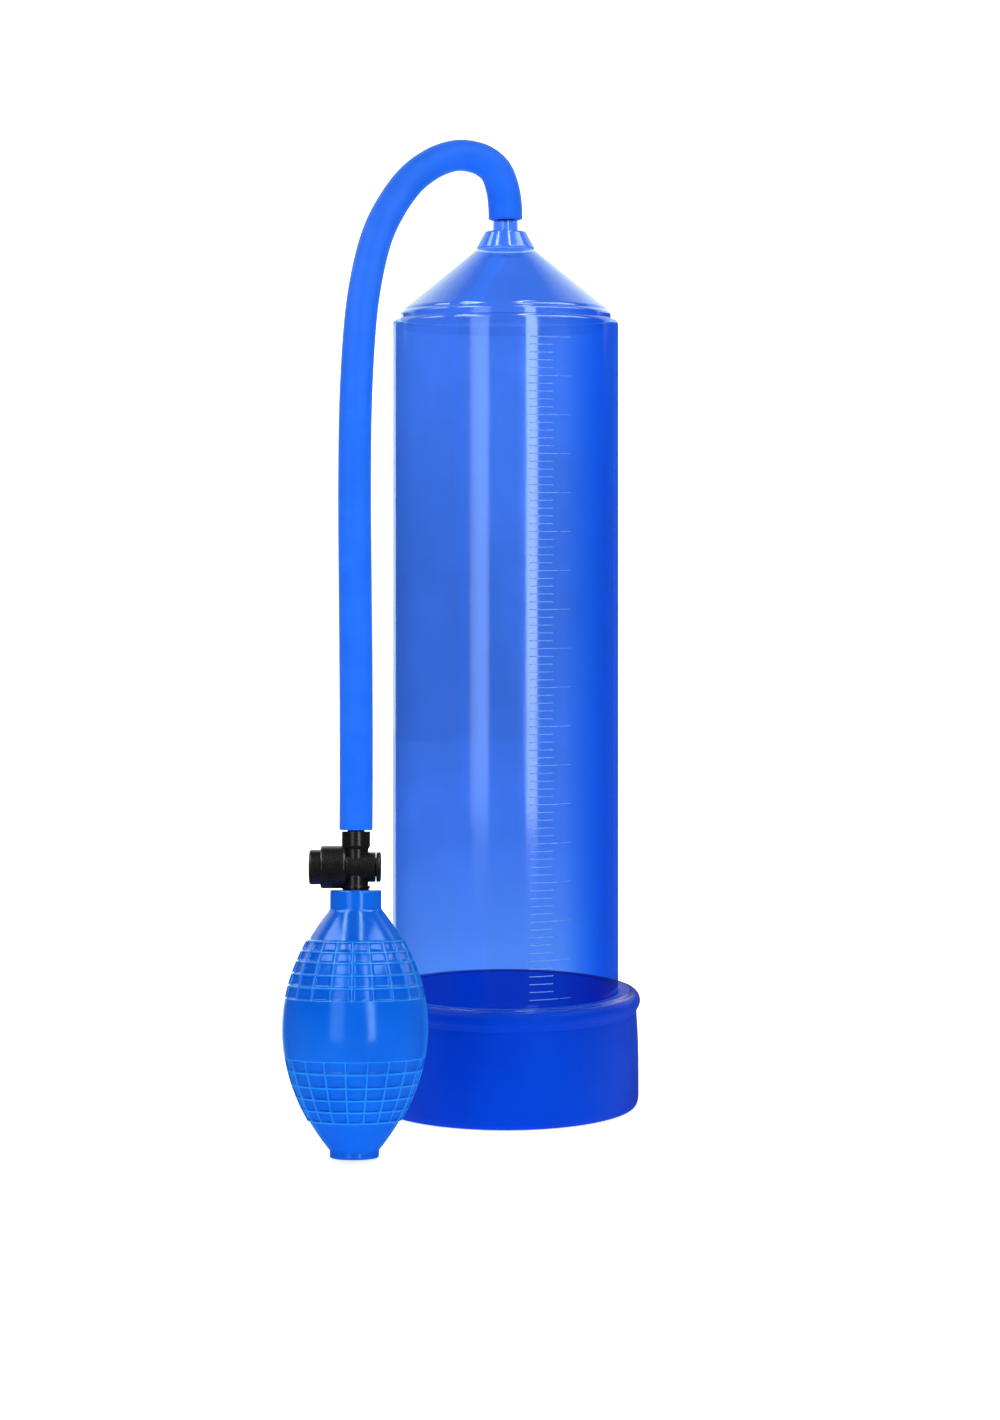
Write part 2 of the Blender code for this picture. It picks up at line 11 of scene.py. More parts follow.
import bmesh
import bpy
import numpy as np
from mathutils import Matrix, Vector
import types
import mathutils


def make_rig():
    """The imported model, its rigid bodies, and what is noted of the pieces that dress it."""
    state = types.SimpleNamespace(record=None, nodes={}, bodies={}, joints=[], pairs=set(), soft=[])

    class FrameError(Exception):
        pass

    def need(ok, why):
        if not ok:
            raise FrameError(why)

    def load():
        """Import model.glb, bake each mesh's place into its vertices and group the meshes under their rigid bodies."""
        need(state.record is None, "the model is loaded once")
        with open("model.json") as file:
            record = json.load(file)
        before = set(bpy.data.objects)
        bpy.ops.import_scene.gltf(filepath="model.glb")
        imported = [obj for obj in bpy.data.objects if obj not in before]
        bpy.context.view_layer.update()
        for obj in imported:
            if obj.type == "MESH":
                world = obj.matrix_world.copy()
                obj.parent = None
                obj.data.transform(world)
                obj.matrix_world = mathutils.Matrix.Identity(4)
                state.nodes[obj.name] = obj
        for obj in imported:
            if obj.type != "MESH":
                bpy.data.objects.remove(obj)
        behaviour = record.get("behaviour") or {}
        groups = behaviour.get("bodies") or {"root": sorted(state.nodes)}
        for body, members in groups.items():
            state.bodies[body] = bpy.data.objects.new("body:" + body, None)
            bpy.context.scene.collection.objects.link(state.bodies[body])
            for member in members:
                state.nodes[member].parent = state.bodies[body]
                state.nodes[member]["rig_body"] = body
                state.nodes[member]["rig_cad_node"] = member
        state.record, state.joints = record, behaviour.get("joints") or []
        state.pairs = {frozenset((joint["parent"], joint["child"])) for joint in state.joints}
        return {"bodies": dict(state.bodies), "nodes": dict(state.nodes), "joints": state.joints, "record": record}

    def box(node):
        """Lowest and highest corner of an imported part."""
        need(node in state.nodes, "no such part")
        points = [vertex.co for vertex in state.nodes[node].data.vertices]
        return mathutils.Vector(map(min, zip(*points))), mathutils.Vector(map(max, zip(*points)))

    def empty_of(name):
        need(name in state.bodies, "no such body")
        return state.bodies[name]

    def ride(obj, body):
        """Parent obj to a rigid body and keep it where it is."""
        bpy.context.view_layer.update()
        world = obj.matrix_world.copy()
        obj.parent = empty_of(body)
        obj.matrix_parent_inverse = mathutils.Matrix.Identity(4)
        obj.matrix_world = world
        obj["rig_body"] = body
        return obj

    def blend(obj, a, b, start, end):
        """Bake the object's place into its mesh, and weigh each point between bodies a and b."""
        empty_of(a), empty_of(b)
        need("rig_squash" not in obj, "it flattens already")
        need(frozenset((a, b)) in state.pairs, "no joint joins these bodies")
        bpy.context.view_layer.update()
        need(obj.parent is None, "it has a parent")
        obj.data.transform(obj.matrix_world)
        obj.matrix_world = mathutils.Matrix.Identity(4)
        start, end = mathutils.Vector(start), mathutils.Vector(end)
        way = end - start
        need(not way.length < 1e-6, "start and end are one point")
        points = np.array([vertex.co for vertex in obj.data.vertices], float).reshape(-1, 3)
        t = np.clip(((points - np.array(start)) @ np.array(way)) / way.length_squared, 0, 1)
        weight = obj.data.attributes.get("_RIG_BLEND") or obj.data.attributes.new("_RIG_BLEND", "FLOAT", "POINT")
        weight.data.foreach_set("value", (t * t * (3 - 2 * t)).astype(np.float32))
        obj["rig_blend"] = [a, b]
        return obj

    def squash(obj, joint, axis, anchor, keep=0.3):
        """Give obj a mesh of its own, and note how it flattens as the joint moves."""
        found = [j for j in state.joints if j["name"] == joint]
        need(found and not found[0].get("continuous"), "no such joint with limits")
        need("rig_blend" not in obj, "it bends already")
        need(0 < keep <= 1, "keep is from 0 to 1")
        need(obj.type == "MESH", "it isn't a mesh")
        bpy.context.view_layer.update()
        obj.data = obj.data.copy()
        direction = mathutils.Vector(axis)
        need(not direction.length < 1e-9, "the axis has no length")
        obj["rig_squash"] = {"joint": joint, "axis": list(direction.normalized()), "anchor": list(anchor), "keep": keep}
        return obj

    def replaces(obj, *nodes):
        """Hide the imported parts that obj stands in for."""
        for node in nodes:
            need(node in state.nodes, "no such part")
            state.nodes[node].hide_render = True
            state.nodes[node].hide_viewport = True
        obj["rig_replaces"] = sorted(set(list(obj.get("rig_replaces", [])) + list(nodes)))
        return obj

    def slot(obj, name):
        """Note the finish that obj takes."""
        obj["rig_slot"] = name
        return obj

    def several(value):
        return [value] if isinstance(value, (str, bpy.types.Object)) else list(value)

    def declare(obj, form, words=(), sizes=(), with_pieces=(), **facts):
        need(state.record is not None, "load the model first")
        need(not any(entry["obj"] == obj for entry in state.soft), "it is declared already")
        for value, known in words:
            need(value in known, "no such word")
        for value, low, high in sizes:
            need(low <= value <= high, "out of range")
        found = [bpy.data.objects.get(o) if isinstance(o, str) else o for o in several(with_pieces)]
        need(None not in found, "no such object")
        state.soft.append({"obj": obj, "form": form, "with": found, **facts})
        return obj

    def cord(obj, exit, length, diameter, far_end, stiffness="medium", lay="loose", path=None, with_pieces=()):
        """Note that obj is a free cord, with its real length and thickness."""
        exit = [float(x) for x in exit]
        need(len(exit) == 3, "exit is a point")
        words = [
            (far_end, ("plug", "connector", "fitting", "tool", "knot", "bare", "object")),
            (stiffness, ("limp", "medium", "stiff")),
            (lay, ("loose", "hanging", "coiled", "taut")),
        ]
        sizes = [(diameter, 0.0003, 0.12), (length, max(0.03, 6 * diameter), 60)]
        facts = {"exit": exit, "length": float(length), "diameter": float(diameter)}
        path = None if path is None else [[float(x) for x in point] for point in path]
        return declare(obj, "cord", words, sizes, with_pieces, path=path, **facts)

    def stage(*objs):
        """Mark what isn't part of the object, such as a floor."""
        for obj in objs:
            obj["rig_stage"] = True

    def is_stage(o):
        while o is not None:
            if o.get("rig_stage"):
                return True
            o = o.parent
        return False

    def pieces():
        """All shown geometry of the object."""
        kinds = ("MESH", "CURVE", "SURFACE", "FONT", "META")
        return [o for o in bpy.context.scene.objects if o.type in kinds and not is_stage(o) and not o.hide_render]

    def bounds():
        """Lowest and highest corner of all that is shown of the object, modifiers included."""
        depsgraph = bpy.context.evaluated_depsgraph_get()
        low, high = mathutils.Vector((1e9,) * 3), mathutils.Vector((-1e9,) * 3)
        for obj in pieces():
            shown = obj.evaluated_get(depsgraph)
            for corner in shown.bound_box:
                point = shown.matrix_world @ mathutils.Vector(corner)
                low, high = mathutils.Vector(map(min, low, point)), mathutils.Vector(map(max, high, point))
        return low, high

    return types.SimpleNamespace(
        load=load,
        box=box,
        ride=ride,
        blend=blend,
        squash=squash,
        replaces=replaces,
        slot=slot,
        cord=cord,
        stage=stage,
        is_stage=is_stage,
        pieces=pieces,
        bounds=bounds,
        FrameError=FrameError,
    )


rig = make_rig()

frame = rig.load()
cad_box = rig.bounds()

MM = 0.001

# Between pieces that fit together, from a straight's ends to its extra points, and how near a clear wall's
# inner side a face belongs to it
GAP = 0.3 * MM
STRAIGHT_END = 0.12 * MM
WALL_SIDE = 0.3 * MM

# Places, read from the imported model. The button's outer end, counted from the bulb's axis, and the valve's
# height on that axis lead from the button's place to the bulb's foot.
TUBE_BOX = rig.box("cylinder_tube")
TUBE_MIDDLE = (TUBE_BOX[0] + TUBE_BOX[1]) / 2
CYLINDER_AXIS = Vector((TUBE_MIDDLE.x, TUBE_MIDDLE.y, 0.0))
LEANING = Vector(next(j["axis"] for j in frame["joints"] if j["name"] == "inlet_ball_lift"))
BULB_LEAN = math.atan2(LEANING.y, LEANING.z)
BUTTON_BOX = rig.box("release_button")
BUTTON_END = -11.35 * MM
VALVE_HEIGHT = 69.95 * MM
BUTTON_MIDDLE = (BUTTON_BOX[0] + BUTTON_BOX[1]) / 2
VALVE_CENTRE = Vector((BUTTON_BOX[0].x - BUTTON_END, BUTTON_MIDDLE.y, BUTTON_MIDDLE.z))
BULB_FOOT = VALVE_CENTRE - VALVE_HEIGHT * LEANING
CYLINDER_PLACE = Matrix.Translation(CYLINDER_AXIS)
BULB_PLACE = Matrix.Translation(BULB_FOOT) @ Matrix.Rotation(-BULB_LEAN, 4, "X")
VALVE_PLACE = BULB_PLACE @ Matrix.Translation((0.0, 0.0, VALVE_HEIGHT)) @ Matrix.Rotation(math.pi / 2, 4, "Y")

# Cylinder, its conical head and the hose fitting on top
TUBE_RADIUS = 30.0 * MM
TUBE_INNER = 28.5 * MM
TUBE_FOOT = 5.9 * MM
TUBE_TOP = 208.4 * MM
HEAD_RADIUS = 28.0 * MM
HEAD_RING_TOP = 210.3 * MM
HEAD_SKIRT_FOOT = 205.8 * MM
HEAD_SKIRT_INNER = 26.4 * MM
CONE_FOOT = (26.8 * MM, 211.4 * MM)
CONE_TOP = (7.9 * MM, 226.9 * MM)
CONE_INNER_FOOT = 208.8 * MM
FITTING_HOLE_RADIUS = 4.7 * MM
FITTING_SHANK_FOOT = 224.9 * MM
COLLAR_TOP = (5.4 * MM, 231.9 * MM)
NIPPLE_RADIUS = 3.3 * MM
NIPPLE_TOP = 234.7 * MM
CONNECTOR_TOP = 241.5 * MM
AIR_BORE_RADIUS = 1.3 * MM
BARB_RADIUS = 2.55 * MM
BARB_ROOT_RADIUS = 2.1 * MM

# Printed scale: a line every 2 mm, and every centimetre a longer one with a faint one beside it. A line runs
# between two angles right of the front, in degrees
SCALE_FOOT = 32.2 * MM
SCALE_STEP = 2.0 * MM
SCALE_LINES = 86
LINES_PER_CENTIMETRE = 5
LINE_START = 11.6
LINE_END = 24.0
LONG_LINE_END = 26.7
FAINT_LINE = (27.6, 34.0)
LINE_THICKNESS = 0.26 * MM
FAINT_THICKNESS = 0.14 * MM
PRINT_RAISE = 0.03 * MM
PRINT_DEPTH = 0.02 * MM

# Sealing sleeve
SLEEVE_RADIUS = 35.4 * MM
SLEEVE_CONTACT_RADIUS = 34.3 * MM
SLEEVE_NECK_RADIUS = 34.8 * MM
SLEEVE_BEAD_RADIUS = 35.8 * MM
SLEEVE_BEAD_MIDDLE = 27.6 * MM
SLEEVE_BEAD_ROUNDING = 2.7 * MM
SLEEVE_TOP = 30.3 * MM
SLEEVE_FLOOR = 5.6 * MM
SLEEVE_MOUTH_RADIUS = 11.2 * MM

# Squeeze bulb: heights are counted along its own axis, from its end flange up
BULB_RADIUS = 17.4 * MM
BULB_INNER_RADIUS = 16.1 * MM
BULB_MIDDLE = 31.0 * MM
BULB_REACH = 35.0 * MM
BULB_INNER_REACH = 32.5 * MM
BULB_POWER = 0.9
NECK_RADIUS = 6.3 * MM
NECK_TOP = 64.4 * MM
NECK_BORE_RADIUS = 3.7 * MM
FLANGE_RADIUS = 6.0 * MM
GRIP_CELLS = 20
GRIP_DEPTH = 0.45 * MM
UPPER_RIBS = [height * MM for height in (38.3, 41.4, 44.4, 47.3, 49.8, 52.2)]
LOWER_RIBS = [height * MM for height in (9.2, 11.9, 14.8, 17.8, 21.1, 24.2)]
LOWER_TWIST = math.radians(-4.7)
BELT_FOOT = LOWER_RIBS[-1]
BELT_TOP = UPPER_RIBS[0]

# Across a rib, in steps of its half width: flat as far as RIB_TOP, and down to the surface at RIB_FOOT
GRIP_RIB = 0.24 * MM
RIB_TOP = 0.55
RIB_FOOT = 1.5
RIB_PARTS = (-RIB_FOOT, -1.0, -RIB_TOP, 0.0, RIB_TOP, 1.0, RIB_FOOT)

# Release valve: x is counted from the bulb's axis, heights along it
BUTTON_RADIUS = 4.24 * MM
BUTTON_INNER_END = -6.8 * MM
BARREL_RADIUS = 5.2 * MM
BARREL_MOUTH = -8.55 * MM
BARREL_BORE_RADIUS = 4.34 * MM
SEAT_WALL = (-3.2 * MM, -2.2 * MM)
VENT_RADIUS = 1.2 * MM
CHAMBER_RADIUS = 2.45 * MM
SMALL_BARREL_RADIUS = 3.65 * MM
SMALL_BARREL_END = 4.8 * MM
END_CAP_END = 6.12 * MM
STEM_RADIUS = 3.05 * MM
STEM_COLLAR_RADIUS = 3.47 * MM
STEM_COLLAR = (74.9 * MM, 78.6 * MM)
STEM_TOP = 85.3 * MM
SPIGOT_RADIUS = 3.2 * MM
SPIGOT_FOOT = 52.0 * MM

# Hose: its route from the nipple to the valve, in metres from the cylinder's axis at the floor
HOSE_RADIUS = 4.1 * MM
HOSE_FLARE_RADIUS = 4.55 * MM
HOSE_FLARE_LENGTH = 30.0 * MM
HOSE_BORE_RADIUS = 1.9 * MM
HOSE_SOCKET_RADIUS = 2.9 * MM
HOSE_SOCKET_DEPTH = 8.0 * MM
HOSE_RIM = 0.35 * MM
HOSE_POINTS = 150
HOSE_ROUTE = [
    (0.0, 0.0, 0.2350),
    (-0.0001, 0.0, 0.2386),
    (-0.0007, -0.0002, 0.2430),
    (-0.0024, -0.0010, 0.2476),
    (-0.0055, -0.0023, 0.2503),
    (-0.0092, -0.0040, 0.2514),
    (-0.0130, -0.0066, 0.2513),
    (-0.0176, -0.0104, 0.2495),
    (-0.0222, -0.0150, 0.2461),
    (-0.0262, -0.0197, 0.2415),
    (-0.0304, -0.0262, 0.2340),
    (-0.0332, -0.0318, 0.2264),
    (-0.0353, -0.0378, 0.2160),
    (-0.0366, -0.0432, 0.2040),
    (-0.0374, -0.0486, 0.1850),
    (-0.0375, -0.0524, 0.1626),
    (-0.0372, -0.0548, 0.1380),
    (-0.0369, -0.0565, 0.1120),
    (-0.0368, -0.0579, 0.0900),
    (-0.0368, -0.05905, 0.07905),
]


# Camera


def make_camera():
    """Level, a little left of the cylinder and three quarters of a metre in front of it."""
    data = bpy.data.cameras.new("photo_camera")
    data.lens = 71.85
    data.sensor_width = 36.0
    data.shift_y = -0.137
    data.clip_start = 0.05
    x = -1.46 * MM
    y = -754.6 * MM
    height = 156.3 * MM
    camera = bpy.data.objects.new("photo_camera", data)
    camera.location = CYLINDER_AXIS + Vector((x, y, height))
    camera.rotation_euler = (math.pi / 2, 0.0, 0.0)
    bpy.context.scene.collection.objects.link(camera)
    bpy.context.scene.camera = camera


# Mesh tools


def add_piece(name, mesh, material, sharp=40):
    """An object in the scene, shaded smooth except along edges sharper than the angle."""
    mesh.shade_smooth()
    mesh.set_sharp_from_angle(angle=math.radians(sharp))
    mesh.materials.append(material)
    obj = bpy.data.objects.new(name, mesh)
    bpy.context.scene.collection.objects.link(obj)
    return obj


def welded(mesh):
    """Joins the points of a pole, so that its quads become triangles."""
    shape = bmesh.new()
    shape.from_mesh(mesh)
    bmesh.ops.remove_doubles(shape, verts=shape.verts, dist=1e-7)
    shape.to_mesh(mesh)
    shape.free()
    mesh.update()


def faced_out(mesh):
    """Turns every face outwards."""
    shape = bmesh.new()
    shape.from_mesh(mesh)
    bmesh.ops.recalc_face_normals(shape, faces=shape.faces)
    shape.to_mesh(mesh)
    shape.free()


def ring_faces(rings, steps, closed):
    """Quads between rings of points, facing out when the rings run down the outer side."""
    faces = []
    for i in range(rings if closed else rings - 1):
        after = (i + 1) % rings
        for j in range(steps):
            beside = (j + 1) % steps
            faces.append((i * steps + j, after * steps + j, after * steps + beside, i * steps + beside))
    return faces


def turned(name, outline, material, place, steps=128, ring=True):
    """A piece turned about its own Z from an outline of (r, z) points, then moved by place."""
    angles = [math.tau * j / steps for j in range(steps)]
    points = [place @ Vector((r * math.cos(a), r * math.sin(a), z)) for r, z in outline for a in angles]
    mesh = bpy.data.meshes.new(name)
    mesh.from_pydata(points, [], ring_faces(len(outline), steps, ring))
    welded(mesh)
    return add_piece(name, mesh, material)


def supported(points, ring):
    """Extra points near both ends of each long straight, which keep its shading flat."""
    result = []
    count = len(points)
    for i, (r, z) in enumerate(points):
        result.append((r, z))
        if i == count - 1 and not ring:
            break
        after = Vector(points[(i + 1) % count])
        here = Vector((r, z))
        length = (after - here).length
        if length > 8 * STRAIGHT_END:
            way = (after - here) / length
            result.append(tuple(here + way * STRAIGHT_END))
            result.append(tuple(after - way * STRAIGHT_END))
    return result


def rounded(corners, ring=True, count=5):
    """An outline from corners (r, z, size), each rounded over size millimetres along both its sides."""
    points = []
    total = len(corners)
    side_share = 0.48
    for i, (r, z, size) in enumerate(corners):
        here = Vector((r, z))
        if size == 0:
            points.append((r, z))
            continue
        before = Vector(corners[i - 1][:2]) - here
        after = Vector(corners[(i + 1) % total][:2]) - here
        reach = min(size * MM, side_share * before.length, side_share * after.length)
        start = here + before.normalized() * reach
        end = here + after.normalized() * reach
        for k in range(count + 1):
            t = k / count
            points.append(tuple((1 - t) ** 2 * start + 2 * t * (1 - t) * here + t * t * end))
    return supported(points, ring)


def arc(centre, radius, start, end, count):
    """Points (r, z) on an arc, with angles in degrees from +r towards +z."""
    angles = [math.radians(start + (end - start) * i / (count - 1)) for i in range(count)]
    return [(centre[0] + radius * math.cos(a), centre[1] + radius * math.sin(a)) for a in angles]


def barbs(top, foot, count):
    """The corners of a hose barb's outer side, from its tip down to its foot."""
    pitch = (top - foot) / count
    crest = 0.6 * pitch
    root = 0.75 * pitch
    corners = []
    for i in range(count):
        tip = top - i * pitch
        corners.append((BARB_ROOT_RADIUS, tip, 0.1))
        corners.append((BARB_RADIUS, tip - crest, 0.15))
        corners.append((BARB_ROOT_RADIUS, tip - root, 0.1))
    return corners


def smooth_step(value, low, high):
    """From 0 at low to 1 at high, level at both ends."""
    t = min(1.0, max(0.0, (value - low) / (high - low)))
    return t * t * (3.0 - 2.0 * t)


def combined(obj, other, operation):
    """Cuts or joins another piece into this one, and removes the other."""
    boolean = obj.modifiers.new(operation.title(), "BOOLEAN")
    boolean.operation = operation
    boolean.object = other
    bpy.context.view_layer.update()
    evaluated = obj.evaluated_get(bpy.context.evaluated_depsgraph_get())
    mesh = bpy.data.meshes.new_from_object(evaluated)
    obj.modifiers.clear()
    obj.data = mesh
    bpy.data.objects.remove(other, do_unlink=True)
    mesh.shade_smooth()
    mesh.set_sharp_from_angle(angle=math.radians(30))


# Materials

BLUE_SCATTER = (0.1, 0.4, 1.0)


class Look:
    """A node material that starts with one Principled shader, and the patterns that the pieces share."""

    def __init__(self, name):
        self.material = bpy.data.materials.new(name)
        self.material.use_nodes = True
        self.nodes = self.material.node_tree.nodes
        self.links = self.material.node_tree.links
        self.shader = self.nodes["Principled BSDF"]
        self.place = self.nodes.new("ShaderNodeTexCoord").outputs["Object"]

    def set(self, **values):
        """Constant values, on the shader's own sockets."""
        for name, value in values.items():
            self.shader.inputs[name.replace("_", " ")].default_value = value

    def join(self, output, socket):
        self.links.new(output, self.shader.inputs[socket])

    def noise(self, scale, detail=3.0, stretch=(1.0, 1.0, 1.0)):
        """Noise by place; scale is in waves per metre."""
        mapping = self.nodes.new("ShaderNodeMapping")
        mapping.inputs["Scale"].default_value = stretch
        self.links.new(self.place, mapping.inputs["Vector"])
        noise = self.nodes.new("ShaderNodeTexNoise")
        noise.inputs["Scale"].default_value = scale
        noise.inputs["Detail"].default_value = detail
        self.links.new(mapping.outputs["Vector"], noise.inputs["Vector"])
        return noise.outputs["Fac"]

    def span(self, value, low, high, start=0.3, end=0.7):
        """The value, which runs from start to end, spread from low to high."""
        node = self.nodes.new("ShaderNodeMapRange")
        self.links.new(value, node.inputs["Value"])
        for name, number in (("From Min", start), ("From Max", end), ("To Min", low), ("To Max", high)):
            node.inputs[name].default_value = number
        return node.outputs["Result"]

    def edge(self, blend):
        """How far the surface turns away: 0 face on, 1 at its rim."""
        node = self.nodes.new("ShaderNodeLayerWeight")
        node.inputs["Blend"].default_value = blend
        return node.outputs["Facing"]

    def along(self, axis, low, high):
        """From 0 where the point's X, Y or Z is low to 1 where it is high."""
        parts = self.nodes.new("ShaderNodeSeparateXYZ")
        self.links.new(self.place, parts.inputs["Vector"])
        return self.span(parts.outputs[axis], 0.0, 1.0, low, high)

    def power(self, value, exponent):
        node = self.nodes.new("ShaderNodeMath")
        node.operation = "POWER"
        self.links.new(value, node.inputs[0])
        node.inputs[1].default_value = exponent
        return node.outputs["Value"]

    def reflecting(self, face_on, at_rim):
        """How much a clear surface reflects: a little face on, and more towards its rim."""
        return self.span(self.power(self.edge(0.5), 3.0), face_on, at_rim, 0.0, 1.0)

    def mixed(self, share, low, high):
        """A colour between two, each of them a colour or an output."""
        node = self.nodes.new("ShaderNodeMix")
        node.data_type = "RGBA"
        self.links.new(share, node.inputs["Factor"])
        for socket, colour in ((node.inputs[6], low), (node.inputs[7], high)):
            if isinstance(colour, tuple):
                socket.default_value = (*colour, 1.0)
            else:
                self.links.new(colour, socket)
        return node.outputs[2]

    def clouded(self, pattern, low, high):
        """A colour that a pattern varies from low to high."""
        return self.mixed(self.span(pattern, 0.0, 1.0), low, high)

    def painted_sheen_rim(self, body, start, rim):
        """A painted sheen: a body colour that turns into the rim's where the surface turns away by more than start."""
        return self.mixed(self.span(self.edge(0.3), 0.0, 1.0, start, 1.0), body, rim)

    def passing(self, colour):
        """A shader that lets light through in a colour."""
        node = self.nodes.new("ShaderNodeBsdfTransparent")
        if isinstance(colour, tuple):
            node.inputs["Color"].default_value = (*colour, 1.0)
        else:
            self.links.new(colour, node.inputs["Color"])
        return node.outputs["BSDF"]

    def layered(self, share, first, second):
        """The first shader where share is 0, and the second where it is 1."""
        node = self.nodes.new("ShaderNodeMixShader")
        self.links.new(share, node.inputs["Fac"])
        self.links.new(first, node.inputs[1])
        self.links.new(second, node.inputs[2])
        return node.outputs["Shader"]

    def relief(self, value, distance, under=None):
        """Bumps of that height in metres; under is another relief below it."""
        node = self.nodes.new("ShaderNodeBump")
        node.inputs["Distance"].default_value = distance
        self.links.new(value, node.inputs["Height"])
        if under:
            self.links.new(under, node.inputs["Normal"])
        return node.outputs["Normal"]


def wall_tint(look, tints, haze):
    """The colour of light through a wall: paler near the foot, deeper at a slant, and deeper on the right, which is
    painted shade.
    """
    hazy = tuple(part * 0.96 for part in tints["upper"])
    upper = look.clouded(haze, hazy, tints["upper"])
    above_foot = look.along("Z", 15 * MM, 72 * MM)
    through = look.mixed(above_foot, tints["foot"], upper)
    # Painted shade: a deeper tint on the cylinder's right side, fixed to that place on the tube.
    right = look.along("X", CYLINDER_AXIS.x + 0.5 * TUBE_RADIUS, CYLINDER_AXIS.x + 0.86 * TUBE_RADIUS)
    through = look.mixed(right, through, tints["right"])
    return look.mixed(look.power(look.edge(0.5), 4.0), through, tints["slanted"])


def clear_plastic(name, tints, face_on, at_rim):
    """Clear acrylic: tint where light goes through, gloss on the face, and lamps reach what is behind it.

    Haze and draw lines vary the tint and the gloss.
    """
    look = Look(name)
    haze = look.noise(55.0, 4.0)
    draw = look.noise(420.0, 2.0, stretch=(1.0, 1.0, 0.03))
    shine = look.nodes.new("ShaderNodeBsdfGlossy")
    shine.inputs["Color"].default_value = (0.85, 1.0, 0.85, 1.0)
    look.links.new(look.span(haze, 0.09, 0.14), shine.inputs["Roughness"])
    look.links.new(look.relief(draw, 0.012 * MM), shine.inputs["Normal"])
    clear = look.passing(wall_tint(look, tints, haze))
    face = look.layered(look.reflecting(face_on, at_rim), clear, shine.outputs["BSDF"])
    lamps_pass = look.passing((0.75, 0.85, 0.97))
    path = look.nodes.new("ShaderNodeLightPath")
    whole = look.layered(path.outputs["Is Shadow Ray"], face, lamps_pass)
    look.links.new(whole, look.nodes["Material Output"].inputs["Surface"])
    look.nodes.remove(look.shader)
    return look.material


def printed_scale():
    """Pale ink, worn thin in places."""
    look = Look("scale_print")
    wear = look.noise(1500.0, 3.0)
    look.join(look.clouded(wear, (0.12, 0.29, 0.82), (0.18, 0.37, 0.88)), "Base Color")
    look.join(look.span(wear, 0.45, 0.65), "Roughness")
    look.join(look.span(wear, 0.6, 0.85), "Alpha")
    look.set(Specular_IOR_Level=0.2)
    return look.material


def deep_blue_silicone(name, low, high, glow=0.0, polish=0.0):
    """Soft moulded silicone, with a fine grain and slow, shallow waves.

    The glow is painted light, standing for light that comes through it. Polish makes it smoother, with brighter and
    whiter highlights.
    """
    look = Look(name)
    grain = look.noise(2600.0, 4.0)
    wave = look.noise(45.0, 2.0)
    look.join(look.clouded(wave, low, high), "Base Color")
    look.join(look.span(grain, 0.34 - polish, 0.42 - polish), "Roughness")
    look.join(look.relief(grain, 0.012 * MM, under=look.relief(wave, 0.25 * MM)), "Normal")
    look.set(Specular_IOR_Level=0.2 + 3 * polish)
    look.set(Specular_Tint=(0.1 + 3 * polish, 0.36 + 2 * polish, 1.0, 1.0))
    look.set(Subsurface_Weight=0.06, Subsurface_Scale=2 * MM, Subsurface_Radius=BLUE_SCATTER)
    # Painted light: a blue glow, which only the sleeve's inside has.
    look.set(Emission_Color=(0.0, 0.3, 1.0, 1.0), Emission_Strength=glow)
    return look.material


def hose_silicone():
    """Matte extruded silicone: a fine grain, faint clouds and a lighter rim, which is painted sheen."""
    look = Look("hose_silicone")
    grain = look.noise(3000.0, 4.0)
    cloud = look.noise(130.0, 2.0)
    body = look.clouded(cloud, (0.004, 0.134, 0.82), (0.008, 0.150, 0.88))
    # Painted sheen: the rim turns a lighter blue.
    look.join(look.painted_sheen_rim(body, 0.35, (0.09, 0.30, 0.97)), "Base Color")
    look.join(look.span(grain, 0.5, 0.62), "Roughness")
    look.join(look.relief(grain, 0.018 * MM), "Normal")
    look.set(Specular_IOR_Level=0.15)
    look.set(Subsurface_Weight=0.15, Subsurface_Scale=1.5 * MM, Subsurface_Radius=BLUE_SCATTER)
    return look.material


def bulb_rubber(name, low, high):
    """Glossy moulded rubber with a slight orange peel and a lighter rim, which is painted sheen."""
    look = Look(name)
    peel = look.noise(900.0, 3.0)
    cloud = look.noise(90.0, 2.0)
    body = look.clouded(cloud, low, high)
    # Painted sheen: the rim turns a lighter cyan blue.
    look.join(look.painted_sheen_rim(body, 0.45, (0.07, 0.46, 0.98)), "Base Color")
    look.join(look.span(peel, 0.13, 0.2), "Roughness")
    look.join(look.relief(peel, 0.012 * MM), "Normal")
    look.set(Specular_IOR_Level=0.5, Specular_Tint=(0.45, 0.8, 1.0, 1.0))
    look.set(Subsurface_Weight=0.1, Subsurface_Scale=1.5 * MM, Subsurface_Radius=BLUE_SCATTER)
    return look.material


def black_plastic():
    """Moulded nylon, satin, with a fine spark-eroded grain."""
    look = Look("black_plastic")
    grain = look.noise(4200.0, 4.0)
    flow = look.noise(260.0, 2.0)
    look.join(look.clouded(flow, (0.004, 0.004, 0.0045), (0.008, 0.008, 0.009)), "Base Color")
    look.join(look.span(grain, 0.2, 0.3), "Roughness")
    look.join(look.relief(grain, 0.005 * MM), "Normal")
    look.set(Specular_IOR_Level=0.36)
    return look.material


def seal_rubber():
    """Dull black rubber."""
    look = Look("seal_rubber")
    grain = look.noise(3500.0, 4.0)
    look.join(look.clouded(grain, (0.012, 0.012, 0.012), (0.03, 0.03, 0.03)), "Base Color")
    look.join(look.span(grain, 0.6, 0.8), "Roughness")
    look.join(look.relief(grain, 0.01 * MM), "Normal")
    return look.material


def polished_steel():
    """Bright steel with fine draw marks."""
    look = Look("polished_steel")
    draw = look.noise(5000.0, 3.0)
    look.join(look.clouded(draw, (0.5, 0.5, 0.51), (0.66, 0.66, 0.67)), "Base Color")
    look.join(look.span(draw, 0.16, 0.3), "Roughness")
    look.join(look.relief(draw, 0.003 * MM), "Normal")
    look.set(Metallic=1.0)
    return look.material


